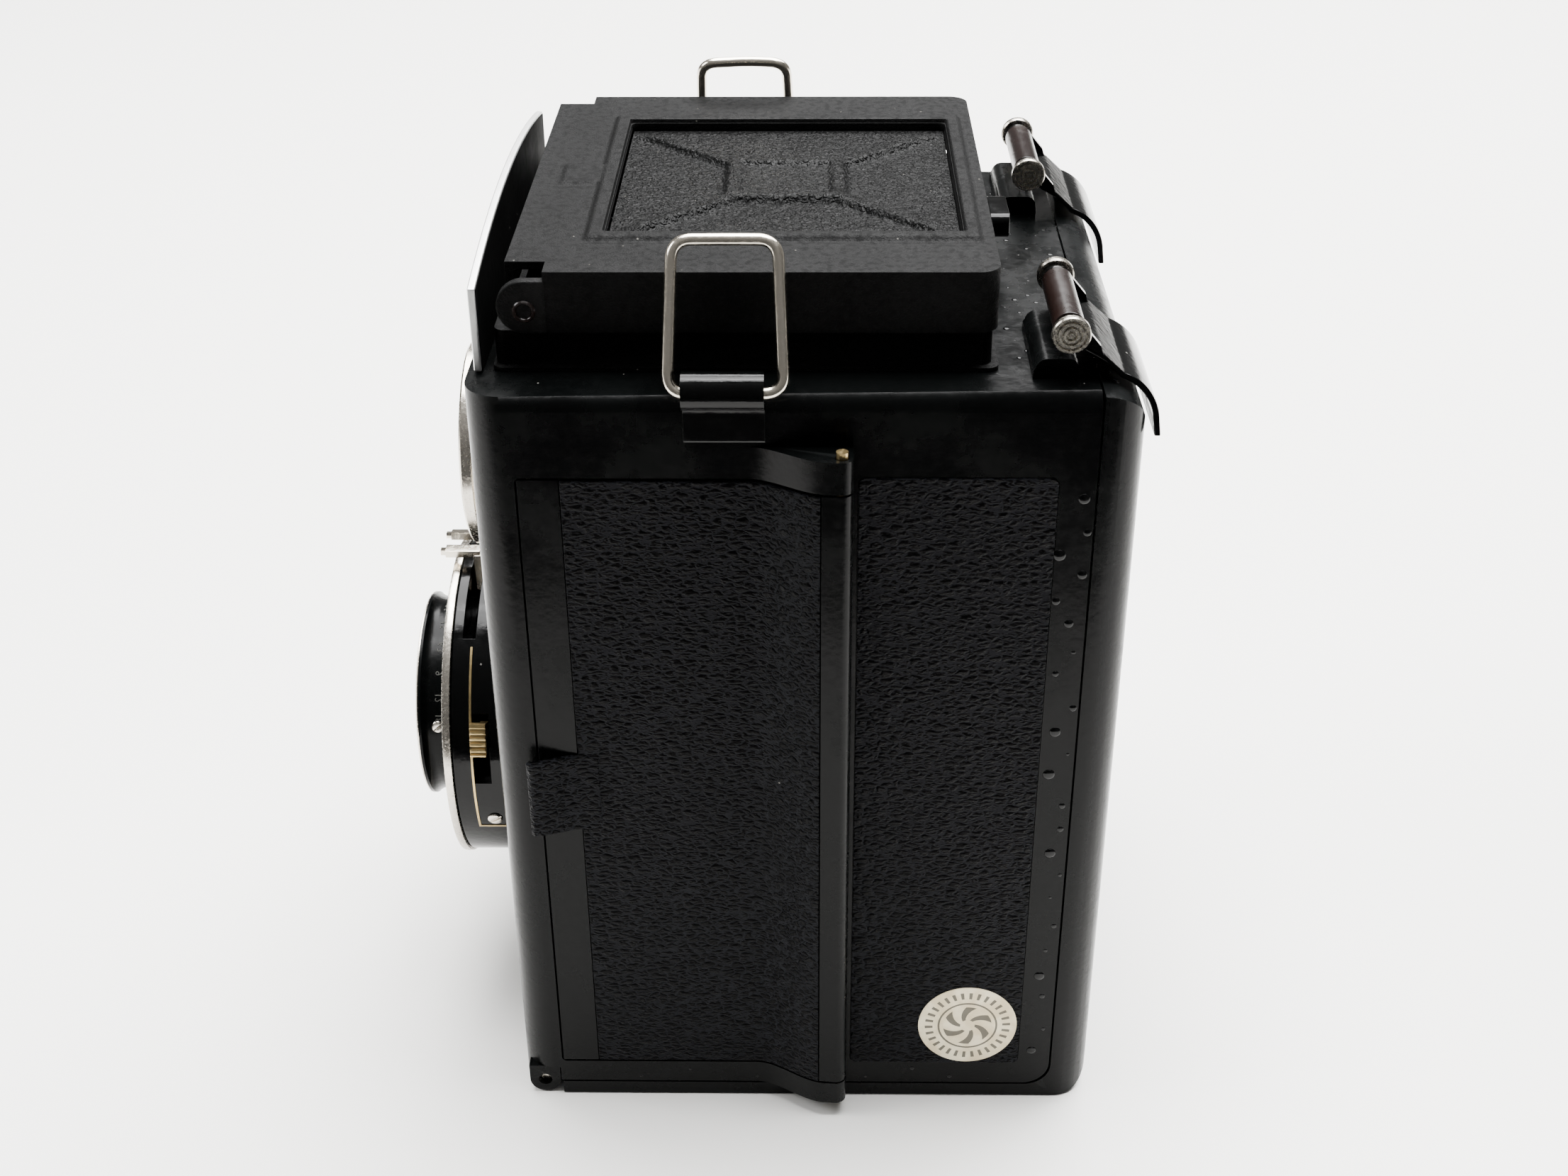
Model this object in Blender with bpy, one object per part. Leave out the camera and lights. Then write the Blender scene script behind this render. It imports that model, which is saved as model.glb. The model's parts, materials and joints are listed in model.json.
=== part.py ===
"""Twin lens reflex camera for 6 x 6 cm roll film, built as separate pieces.

Row frame: origin under the centre of the base, -Y towards the lenses, +X to the photographer's
left, +Z up. Every size below is in millimetres; add_piece() turns millimetres into metres.
"""
from math import cos, pi, radians, sin

import bmesh
import bpy
from mathutils import Matrix, Vector
from mathutils.geometry import tessellate_polygon

MM = 0.001

# Casing
HALF_WIDTH = 43.5
FRONT_Y = -43.5
REAR_Y = 43.5
TOP_Z = 120.0
WALL = 2.5
FRONT_CORNER_R = 5.0
GAP = 0.3
PLATE_THICK = 2.6
DECK_Z = TOP_Z - PLATE_THICK
WALL_FOOT_Z = 2.6
WALL_HEAD_Z = DECK_Z - GAP
FRONT_FOOT_Z = 5.2

# Spool doors in the two sides
DOOR_FRONT_Y = -38.1
DOOR_FOOT_Z = 6.6
DOOR_HEAD_Z = 108.4
DOOR_THICK = 1.6
HINGE_X = 46.6
HINGE_Y = 4.3
HINGE_R = 1.5
HINGE_PIN_R = 0.8
HINGE_HOLE_R = 0.92
FLARE_START_Y = -8.0
FLARE_END_Y = 2.8
FLARE_RISE = 4.5
CAP_HEAD_Z = 113.0
LEATHER = 0.4
LEATHER_SINK = 0.5
LEATHER_PROUD = 0.2
STRIP_Y = -32.4

# L-shaped back door
BACK_Y = 37.5
BACK_FLOOR = 2.3
BACK_TOP_R = 6.0
BACK_SIDE_R = 5.5
BACK_HINGE_Y = -41.0
BACK_HINGE_Z = 2.4
BACK_HINGE_R = 2.4
BACK_PIN_R = 0.9
BACK_HOLE_R = 1.05
BACK_BARREL_HALF = 34.0

# Optics
TAKING_Z = 46.3
VIEWING_Z = 92.0
GLASS_Y = -8.6
GATE_HALF = 28.0
DRUM_R = 25.4
DRUM_FRONT_Y = -54.5
DRUM_BACK_Y = -45.2
BEZEL_R = 16.4
BEZEL_FRONT_Y = -61.3
VIEWING_FRONT_Y = -52.2
SEAT_FRONT_Y = -47.0
SEAT_BACK_Y = -43.6
TAB_FRONT_Y = -57.4

# Hood
HOOD_HALF = 35.0
HOOD_FRONT_Y = -40.6
HOOD_REAR_Y = 23.7
HOOD_BASE_TOP = 125.4
LID_HALF = 36.6
LID_FRONT_Y = -38.8
LID_REAR_Y = 24.3
LID_FOOT_Z = 125.7
LID_TOP_Z = 134.0
LID_WALL = 1.3
LID_PIVOT_Y = -36.2
LID_PIVOT_Z = 128.7
LID_CHEEK_R = 3.4
WING_X = 33.4
WING_Z = 127.35
WING_HEIGHT = 28.0
SHEET = 0.7
FLAP_Y = 21.2
FLAP_Z = 126.2
MAGNIFIER_Y = LID_PIVOT_Y + 30.0
MAGNIFIER_Z = 130.2

# Shield in front of the hood
FASCIA_Y = -43.0
FASCIA_THICK = 0.7
FASCIA_SHEET = 0.25
FASCIA_TOP_Z = 135.1
FASCIA_DROP = 3.4

# Strap loops
LOOP_X = 45.4
LOOP_Z = 121.4
LOOP_Y = -10.7
WIRE_R = 0.8
LUG_R = 2.5
LUG_FOOT_Z = 114.0

# Door latches
LATCH_X0 = 21.0
LATCH_X1 = 39.0
LATCH_HINGE_Y = 45.0
LATCH_HINGE_Z = 112.6
ROLLER_Y = 33.0
ROLLER_Z = 127.0

# Film path
SPOOL_X = 28.2
SPOOL_Y = -25.6
SPOOL_FOOT_Z = 15.0
SPOOL_HEIGHT = 62.0
ROLLER_X = 37.4
GUIDE_Y = 32.8

# Focus lever, film advance, frame counter and tripod bush
FOCUS_REST = 45.0
ADVANCE_Y = 20.0
ADVANCE_Z = 88.0
ADVANCE_REACH = 24.0
COUNTER_Y = 20.0
COUNTER_Z = 52.0
COUNTER_R = 7.8
SPINDLE_R = 2.5
SPINDLE_HOLE_R = 2.8
BUSH_X = 0.0
BUSH_Y = -12.0
BUSH_R = 8.0
BUSH_THREAD_R = 3.2
BUSH_HEIGHT = 6.5

COLOURS = {
    "black_enamel": ((0.012, 0.013, 0.013), 0.25, 0.0),
    "black_leather": ((0.02, 0.02, 0.02), 0.55, 0.0),
    "black_crackle": ((0.016, 0.016, 0.016), 0.7, 0.0),
    "nickel": ((0.62, 0.58, 0.5), 0.3, 1.0),
    "brass": ((0.6, 0.42, 0.2), 0.35, 1.0),
    "glass": ((0.75, 0.82, 0.8), 0.05, 0.0),
    "silvered_glass": ((0.8, 0.8, 0.8), 0.05, 1.0),
    "spool_metal": ((0.05, 0.05, 0.05), 0.45, 0.6),
}


def material(colour_name):
    """Return the named material, making it on first use."""
    found = bpy.data.materials.get(colour_name)
    if found:
        return found
    colour, roughness, metallic = COLOURS[colour_name]
    made = bpy.data.materials.new(colour_name)
    made.use_nodes = True
    shader = made.node_tree.nodes["Principled BSDF"]
    shader.inputs["Base Color"].default_value = (*colour, 1.0)
    shader.inputs["Roughness"].default_value = roughness
    shader.inputs["Metallic"].default_value = metallic
    return made


def add_piece(name, bm, colour_name, origin=(0.0, 0.0, 0.0), smooth_angle=40.0):
    """Turn a bmesh in millimetres into an object whose origin is the given point."""
    bmesh.ops.translate(bm, vec=-Vector(origin), verts=bm.verts)
    bmesh.ops.scale(bm, vec=(MM, MM, MM), verts=bm.verts)
    bmesh.ops.recalc_face_normals(bm, faces=bm.faces)
    mesh = bpy.data.meshes.new(name)
    bm.to_mesh(mesh)
    bm.free()
    mesh.shade_smooth()
    mesh.set_sharp_from_angle(angle=radians(smooth_angle))
    piece = bpy.data.objects.new(name, mesh)
    piece.location = Vector(origin) * MM
    mesh.materials.append(material(colour_name))
    bpy.context.scene.collection.objects.link(piece)
    return piece


def place(point, level, axis):
    """Put a 2-D outline point and a level along the axis into 3-D."""
    u, v = point
    if axis == "X":
        return Vector((level, u, v))
    if axis == "Y":
        return Vector((u, level, v))
    return Vector((u, v, level))


def prism(outline, low, high, axis="Z", holes=()):
    """Extrude an outline, with optional holes, between two levels along an axis.

    The outline's two coordinates are (Y, Z) for axis X, (X, Z) for axis Y and (X, Y) for axis Z.
    """
    bm = bmesh.new()
    loops = [list(outline)] + [list(hole) for hole in holes]
    ends = []
    for level in (low, high):
        ends.append([[bm.verts.new(place(p, level, axis)) for p in loop] for loop in loops])
    for near, far in zip(*ends):
        for i in range(len(near)):
            j = (i + 1) % len(near)
            bm.faces.new((near[i], near[j], far[j], far[i]))
    flat = [[Vector((p[0], p[1], 0.0)) for p in loop] for loop in loops]
    for end in ends:
        corners = [vert for loop in end for vert in loop]
        for triangle in tessellate_polygon(flat):
            bm.faces.new([corners[k] for k in triangle])
    return bm


def turned(profile, centre, axis="Y", segments=36):
    """Turn a closed profile of (radius, level) points about an axis through the centre."""
    bm = bmesh.new()
    rings = []
    for radius, level in profile:
        count = segments if radius > 1e-6 else 1
        ring = []
        for i in range(count):
            turn = 2 * pi * i / segments
            spot = (centre[0] + radius * cos(turn), centre[1] + radius * sin(turn))
            ring.append(bm.verts.new(place(spot, level, axis)))
        rings.append(ring)
    for k, ring in enumerate(rings):
        after = rings[(k + 1) % len(rings)]
        if len(ring) == 1 and len(after) == 1:
            continue
        for i in range(segments):
            j = (i + 1) % segments
            corners = [ring[i % len(ring)], ring[j % len(ring)]]
            corners += [after[j % len(after)], after[i % len(after)]]
            bm.faces.new(list(dict.fromkeys(corners)))
    return bm


def rod(radius, low, high, centre, axis="Z", segments=16):
    """A plain solid rod."""
    return prism(circle(centre, radius, segments), low, high, axis)


def circle(centre, radius, segments=24, start=0.0, sweep=360.0):
    """Points round a circle, or along an arc when the sweep is less than a full turn."""
    full = abs(sweep) >= 360.0
    steps = segments if full else segments + 1
    points = []
    for i in range(steps):
        turn = radians(start + sweep * i / segments)
        points.append((centre[0] + radius * cos(turn), centre[1] + radius * sin(turn)))
    return points


def rounded(x0, y0, x1, y1, radii, segments=5):
    """A rectangle with a radius for each corner, from low-low round to low-high."""
    if isinstance(radii, (int, float)):
        radii = (radii,) * 4
    corners = ((x0, y0, 1, 1), (x1, y0, -1, 1), (x1, y1, -1, -1), (x0, y1, 1, -1))
    points = []
    for turn, ((x, y, dx, dy), radius) in enumerate(zip(corners, radii)):
        if radius <= 0:
            points.append((x, y))
            continue
        middle = (x + dx * radius, y + dy * radius)
        points += circle(middle, radius, segments, 180.0 + 90.0 * turn, 90.0)
    return points


def mirrored(outline):
    """The same outline on the other side of the camera."""
    return [(-u, v) for u, v in outline]


def sided(outline, side):
    """An (X, Y) or (X, Z) outline drawn for the left, moved to the given side."""
    return list(outline) if side > 0 else mirrored(outline)


def span(side, near, far):
    """Two X levels drawn for the left, in rising order on the given side."""
    return sorted((side * near, side * far))


def combine(piece, tool_bm, operation):
    """Add a Boolean modifier whose other solid is a hidden helper object."""
    tool = add_piece(f"{piece.name}_{operation.lower()}_{len(piece.modifiers)}", tool_bm, "nickel")
    tool.hide_render = True
    tool.display_type = "WIRE"
    step = piece.modifiers.new(operation.lower(), "BOOLEAN")
    step.operation = operation
    step.solver = "EXACT"
    step.object = tool


def cut(piece, tool_bm):
    combine(piece, tool_bm, "DIFFERENCE")


def weld(piece, tool_bm):
    combine(piece, tool_bm, "UNION")


def bevel(piece, width, segments=2, angle=50.0):
    """Round every edge sharper than the angle."""
    step = piece.modifiers.new("edges", "BEVEL")
    step.width = width * MM
    step.segments = segments
    step.limit_method = "ANGLE"
    step.angle_limit = radians(angle)
    step.use_clamp_overlap = True


def flare(y, offset=0.0):
    """How far out the side stands at a given Y: flat, then swelling to clear the hinge."""
    t = min(max((y - FLARE_START_Y) / (FLARE_END_Y - FLARE_START_Y), 0.0), 1.0)
    return HALF_WIDTH + FLARE_RISE * t * t * (3 - 2 * t) + offset


def flare_line(y_from, y_to, offset=0.0, steps=9):
    """Points along the flared side, in the (X, Y) plane."""
    ys = [y_from + (y_to - y_from) * i / steps for i in range(steps + 1)]
    return [(flare(y, offset), y) for y in ys]


# ---------------------------------------------------------------- casing

def make_front_wall():
    inner_half = HALF_WIDTH - WALL
    inner_y = FRONT_Y + WALL
    end_y = DOOR_FRONT_Y - GAP
    outer = [(HALF_WIDTH, end_y)]
    outer += circle((HALF_WIDTH - FRONT_CORNER_R, FRONT_Y + FRONT_CORNER_R), FRONT_CORNER_R, 5, 0, -90)
    outer += circle((-HALF_WIDTH + FRONT_CORNER_R, FRONT_Y + FRONT_CORNER_R), FRONT_CORNER_R, 5, -90, -90)
    outer += [(-HALF_WIDTH, end_y), (-inner_half, end_y), (-inner_half + 1.5, inner_y)]
    outer += [(inner_half - 1.5, inner_y), (inner_half, end_y)]
    piece = add_piece("front_wall", prism(outer, FRONT_FOOT_Z, WALL_HEAD_Z), "black_enamel")
    for side in (1, -1):
        low, high = span(side, BACK_BARREL_HALF + 0.4, HALF_WIDTH - 0.3)
        lug = circle((BACK_HINGE_Y, BACK_HINGE_Z), BACK_HINGE_R, 12, 180, 180)
        lug += [(BACK_HINGE_Y + 2.3, 6.0), (BACK_HINGE_Y - 2.3, 6.0)]
        weld(piece, prism(lug, low, high, "X"))
    cut(piece, rod(BACK_HOLE_R, -HALF_WIDTH + 1.0, HALF_WIDTH - 1.0, (BACK_HINGE_Y, BACK_HINGE_Z), "X"))
    cut(piece, rod(24.3, -50.0, -36.0, (0.0, TAKING_Z), "Y", 48))
    cut(piece, rod(15.3, -50.0, -36.0, (0.0, VIEWING_Z), "Y", 40))
    return piece


def make_top_plate():
    outline = rounded(-HALF_WIDTH, FRONT_Y, HALF_WIDTH, BACK_Y - GAP, (5.0, 5.0, 1.0, 1.0))
    window = rounded(-GATE_HALF, GLASS_Y - GATE_HALF, GATE_HALF, GLASS_Y + GATE_HALF, 2.0, 3)
    piece = add_piece("top_plate", prism(outline, DECK_Z, TOP_Z, "Z", [window]), "black_enamel")
    for side in (1, -1):
        low, high = span(side, LATCH_X0 + 1.0, LATCH_X1 - 1.0)
        catch = [(28.6, TOP_Z - 1.0), (29.0, 121.6), (30.4, 122.8), (33.4, 122.8), (34.8, TOP_Z - 1.0)]
        weld(piece, prism(catch, low, high, "X"))
    return piece


def make_side_wall(side, suffix):
    outline = [(DOOR_FRONT_Y, WALL_FOOT_Z)]
    outline += circle((BACK_Y - GAP - 4.0, WALL_FOOT_Z + 4.0), 4.0, 4, -90, 90)
    outline += [(BACK_Y - GAP, WALL_HEAD_Z), (DOOR_FRONT_Y, WALL_HEAD_Z), (DOOR_FRONT_Y, DOOR_HEAD_Z)]
    outline += [(3.0, DOOR_HEAD_Z), (3.0, DOOR_FOOT_Z), (DOOR_FRONT_Y, DOOR_FOOT_Z)]
    low, high = span(side, HALF_WIDTH - WALL, HALF_WIDTH)
    piece = add_piece(f"side_wall_{suffix}", prism(outline, low, high, "X"), "black_enamel")
    cap = [(HALF_WIDTH - 1.0, FLARE_START_Y + 1.0)] + flare_line(FLARE_START_Y + 1.0, FLARE_END_Y)
    cap += circle((HINGE_X, HINGE_Y), HINGE_R, 4, 0, 90) + [(HALF_WIDTH - 1.0, HINGE_Y + HINGE_R)]
    hole = [circle((side * HINGE_X, HINGE_Y), HINGE_HOLE_R, 12)]
    weld(piece, prism(sided(cap, side), DOOR_HEAD_Z, CAP_HEAD_Z, "Z", hole))
    weld(piece, prism(sided(cap, side), WALL_FOOT_Z, DOOR_FOOT_Z, "Z", hole))
    pocket = span(side, HALF_WIDTH - LEATHER_SINK, HALF_WIDTH + 2.0)
    cut(piece, prism(rounded(6.4, 6.8, 32.4, 108.6, 1.0, 2), *pocket, "X"))
    if side < 0:
        for centre in ((ADVANCE_Y, ADVANCE_Z), (COUNTER_Y, COUNTER_Z)):
            cut(piece, rod(SPINDLE_HOLE_R, -HALF_WIDTH - 2.0, -HALF_WIDTH + 4.0, centre, "X"))
    return piece


def make_side_leather(side, suffix):
    holes = []
    if side < 0:
        holes = [circle((ADVANCE_Y, ADVANCE_Z), 3.2, 16), circle((COUNTER_Y, COUNTER_Z), 3.2, 16)]
    low, high = span(side, HALF_WIDTH - LEATHER_PROUD, HALF_WIDTH + LEATHER_PROUD)
    outline = rounded(6.7, 7.1, 32.1, 108.3, 0.8, 2)
    return add_piece(f"side_leather_{suffix}", prism(outline, low, high, "X", holes), "black_leather")


def fascia_outline(inset, steps=12):
    """Upright plate on the deck whose top is one shallow arch."""
    half = LID_HALF - inset
    arch = []
    for i in range(steps + 1):
        x = half - 2 * half * i / steps
        arch.append((x, FASCIA_TOP_Z - inset - FASCIA_DROP * (x / LID_HALF) ** 2))
    return arch + [(-half, TOP_Z + GAP), (half, TOP_Z + GAP)]


def make_fascia():
    """Plated shield in front of the hood, backed by a black sheet."""
    plate = prism(fascia_outline(0.0), FASCIA_Y, FASCIA_Y + FASCIA_THICK, "Y")
    add_piece("fascia_plate", plate, "nickel")
    back_y = FASCIA_Y + FASCIA_THICK + 0.05
    panel = prism(fascia_outline(0.3), back_y, back_y + FASCIA_SHEET, "Y")
    return add_piece("fascia_panel", panel, "black_enamel")


def make_film_chamber():
    """Light-tight funnel from the taking lens to the film gate."""
    stations = ((-36.6, 15.3, 15.3), (-13.0, 15.6, 20.0), (32.8, 29.6, 29.6))
    wall = 1.1
    bm = bmesh.new()
    shells = []
    for inset in (0.0, wall):
        rings = []
        for y, half_x, half_z in stations:
            corners = ((-1, -1), (1, -1), (1, 1), (-1, 1))
            ring = []
            for sx, sz in corners:
                spot = (sx * (half_x - inset), y, TAKING_Z + sz * (half_z - inset))
                ring.append(bm.verts.new(spot))
            rings.append(ring)
        shells.append(rings)
    for rings in shells:
        for near, far in zip(rings, rings[1:]):
            for i in range(4):
                j = (i + 1) % 4
                bm.faces.new((near[i], near[j], far[j], far[i]))
    for end in (0, -1):
        for i in range(4):
            j = (i + 1) % 4
            bm.faces.new((shells[0][end][i], shells[0][end][j], shells[1][end][j], shells[1][end][i]))
    return add_piece("film_chamber", bm, "black_enamel")


def make_film_gate():
    half = 34.3
    frame = rounded(-half, TAKING_Z - 33.8, half, TAKING_Z + 33.8, 1.0, 2)
    window = rounded(-GATE_HALF, TAKING_Z - GATE_HALF, GATE_HALF, TAKING_Z + GATE_HALF, 0.8, 2)
    piece = add_piece("film_gate", prism(frame, 33.3, 35.3, "Y", [window]), "nickel")
    for z in (TAKING_Z - 35.2, TAKING_Z + 33.2):
        plate = rounded(-40.3, 30.0, 40.3, 35.3, 1.0, 2)
        holes = [circle((s * ROLLER_X, GUIDE_Y), 1.15, 12) for s in (1, -1)]
        weld(piece, prism(plate, z, z + 2.0, "Z", holes))
    return piece


def make_guide_roller(side, suffix):
    low = TAKING_Z - 32.6
    high = TAKING_Z + 32.6
    profile = [(0.0, low - 2.2), (1.0, low - 2.2), (1.0, low), (2.4, low), (2.4, high)]
    profile += [(1.0, high), (1.0, high + 2.2), (0.0, high + 2.2)]
    bm = turned(profile, (side * ROLLER_X, GUIDE_Y), "Z", 20)
    return add_piece(f"guide_roller_{suffix}", bm, "nickel", (side * ROLLER_X, GUIDE_Y, TAKING_Z))


def make_spool(side, suffix):
    foot = SPOOL_FOOT_Z
    head = foot + SPOOL_HEIGHT
    profile = [(3.0, foot), (12.2, foot), (12.2, foot + 1.0), (6.0, foot + 1.4)]
    profile += [(6.0, head - 1.4), (12.2, head - 1.0), (12.2, head), (3.0, head)]
    bm = turned(profile, (side * SPOOL_X, SPOOL_Y), "Z", 20)
    return add_piece(f"film_spool_{suffix}", bm, "spool_metal", (side * SPOOL_X, SPOOL_Y, foot))


def make_mirror():
    """Plate at 45 degrees that turns the viewing lens's light up to the focusing screen."""
    slab = [(-18.0, -15.5), (18.0, -15.5), (27.0, 33.0), (-27.0, 33.0)]
    bm = prism(slab, -2.2, 0.0)
    turn = Matrix.Rotation(radians(45.0), 4, "X")
    bmesh.ops.transform(bm, matrix=Matrix.Translation((0.0, GLASS_Y, VIEWING_Z)) @ turn, verts=bm.verts)
    return add_piece("reflex_mirror", bm, "silvered_glass")


def make_focusing_screen():
    outline = rounded(-29.0, GLASS_Y - 29.0, 29.0, GLASS_Y + 29.0, 1.0, 2)
    return add_piece("focusing_screen", prism(outline, DECK_Z - 2.0, DECK_Z - GAP), "glass")


# ---------------------------------------------------------------- viewing lens

def make_viewing_lens():
    centre = (0.0, VIEWING_Z)
    seat = [(15.9, SEAT_FRONT_Y), (17.2, SEAT_FRONT_Y), (17.6, SEAT_FRONT_Y + 0.4)]
    seat += [(17.6, SEAT_BACK_Y), (15.9, SEAT_BACK_Y)]
    add_piece("viewing_lens_mount", turned(seat, centre), "black_enamel")
    barrel = [(12.6, VIEWING_FRONT_Y), (15.5, VIEWING_FRONT_Y), (15.5, VIEWING_FRONT_Y + 1.8)]
    barrel += [(14.8, VIEWING_FRONT_Y + 2.4), (14.8, -38.5), (12.6, -38.5)]
    add_piece("viewing_lens_barrel", turned(barrel, centre), "nickel", (0.0, -50.0, VIEWING_Z))
    front = lens_profile(12.4, VIEWING_FRONT_Y + 0.8, VIEWING_FRONT_Y + 4.8, 1.6)
    return add_piece("viewing_lens_glass", turned(front, centre, "Y", 28), "glass", (0.0, -50.0, VIEWING_Z))


def lens_profile(radius, front_y, back_y, bulge, steps=2):
    """Half section of a lens: a curved front and back that meet a straight rim."""
    points = [(0.0, front_y)]
    for i in range(1, steps + 1):
        r = radius * i / steps
        points.append((r, front_y + bulge * (r / radius) ** 2))
    for i in range(steps, 0, -1):
        r = radius * i / steps
        points.append((r, back_y - 0.5 * bulge * (r / radius) ** 2))
    points.append((0.0, back_y))
    return points


# ---------------------------------------------------------------- shutter and taking lens

def sector(r0, r1, start, sweep, low, high, segments=8):
    """A slab of a ring about the taking lens's axis."""
    centre = (0.0, TAKING_Z)
    outline = circle(centre, r1, segments, start, sweep) + circle(centre, r0, segments, start + sweep, -sweep)
    return prism(outline, low, high, "Y")


def make_shutter_housing():
    profile = [(16.5, DRUM_FRONT_Y), (24.9, DRUM_FRONT_Y), (DRUM_R, DRUM_FRONT_Y + 0.5)]
    profile += [(DRUM_R, DRUM_BACK_Y), (19.6, DRUM_BACK_Y), (19.6, -37.0), (17.6, -37.0)]
    profile += [(17.6, DRUM_BACK_Y - 1.5), (23.4, DRUM_BACK_Y - 1.5), (23.4, DRUM_FRONT_Y + 1.8)]
    profile += [(16.5, DRUM_FRONT_Y + 1.8)]
    piece = add_piece("shutter_housing", turned(profile, (0.0, TAKING_Z), "Y", 44), "black_enamel")
    cut(piece, sector(22.0, 28.0, 52.0, 76.0, -52.6, -50.6))
    cut(piece, sector(22.0, 28.0, 0.0, 26.0, -51.2, -48.4, 4))
    return piece


def make_shutter_rim():
    profile = [(23.6, -55.6), (25.4, -55.6), (25.8, -55.3), (25.8, -54.8), (23.6, -54.8)]
    return add_piece("shutter_rim", turned(profile, (0.0, TAKING_Z), "Y", 44), "nickel")


def make_taking_lens():
    centre = (0.0, TAKING_Z)
    profile = [(13.2, -60.6), (14.2, BEZEL_FRONT_Y), (BEZEL_R, BEZEL_FRONT_Y), (BEZEL_R, -60.3)]
    profile += [(15.6, -59.2), (15.6, -47.0), (13.2, -47.0)]
    add_piece("taking_lens_barrel", turned(profile, centre), "black_enamel")
    add_piece("taking_lens_glass", turned(lens_profile(12.9, -58.8, -54.4, 1.8), centre, "Y", 28), "glass")
    iris = [(5.0, -51.4), (12.9, -51.4), (12.9, -50.6), (5.0, -50.6)]
    return add_piece("iris_diaphragm", turned(iris, centre, "Y", 32), "black_enamel")


def make_lens_tab(name, middle, width):
    """Lever that comes out of the drum's slot and bends forward over its rim."""
    bm = sector(21.0, 27.9, middle - width / 2, width, -52.2, -51.0, 2)
    piece = add_piece(name, bm, "nickel")
    narrow = width * 0.72
    weld(piece, sector(27.0, 28.3, middle - narrow / 2, narrow, TAB_FRONT_Y, -51.2, 2))
    return piece


def make_release_lever():
    piece = add_piece("release_lever", sector(20.6, 27.0, 15.0, 6.0, -50.4, -49.2, 2), "nickel")
    weld(piece, sector(26.2, 27.6, 12.6, 10.8, -51.0, -48.6, 4))
    return piece


def make_focus_lever():
    """Ring in the front wall with an arm and a knob; turning it drives both lenses out."""
    centre = (0.0, TAKING_Z)
    ring = turned([(20.2, -44.9), (23.9, -44.9), (23.9, -41.4), (20.2, -41.4)], centre, "Y", 36)
    piece = add_piece("focus_lever", ring, "nickel", (0.0, -44.0, TAKING_Z))
    bm = prism(rounded(-3.0, -34.0, 3.0, -22.5, (3.0, 3.0, 0.0, 0.0), 4), -44.9, -43.9, "Y")
    knob = rod(2.4, -48.0, -44.4, (0.0, -31.0), "Y", 16)
    for tool in (bm, knob):
        turn = Matrix.Translation((0.0, 0.0, TAKING_Z)) @ Matrix.Rotation(radians(FOCUS_REST), 4, "Y")
        bmesh.ops.transform(tool, matrix=turn, verts=tool.verts)
        weld(piece, tool)
    return piece


# ---------------------------------------------------------------- hood

def make_hood_base():
    outer = rounded(-HOOD_HALF, HOOD_FRONT_Y, HOOD_HALF, HOOD_REAR_Y, 1.5, 3)
    inner = rounded(-HOOD_HALF + 2, HOOD_FRONT_Y + 2, HOOD_HALF - 2, HOOD_REAR_Y - 2, 1.0, 2)
    piece = add_piece("hood_base", prism(outer, TOP_Z + GAP, HOOD_BASE_TOP, "Z", [inner]), "black_crackle")
    for side in (1, -1):
        ear = rounded(LID_PIVOT_Y - 1.8, TOP_Z + 2, LID_PIVOT_Y + 1.8, LID_PIVOT_Z + 1.8, (0, 0, 1.8, 1.8), 3)
        hole = [circle((LID_PIVOT_Y, LID_PIVOT_Z), 1.0, 12)]
        weld(piece, prism(ear, *span(side, HOOD_HALF - 1.4, HOOD_HALF - 0.1), "X", hole))
    return piece


def make_hood_rivet(side, suffix):
    centre = (LID_PIVOT_Y, LID_PIVOT_Z)
    low = side * (HOOD_HALF - 2.0)
    mid = side * (LID_HALF + 0.15)
    high = side * (LID_HALF + 0.55)
    profile = [(0.0, low), (0.85, low), (0.85, mid), (1.3, mid), (1.1, high), (0.0, high)]
    return add_piece(f"hood_rivet_{suffix}", turned(profile, centre, "X", 12), "nickel")


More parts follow.
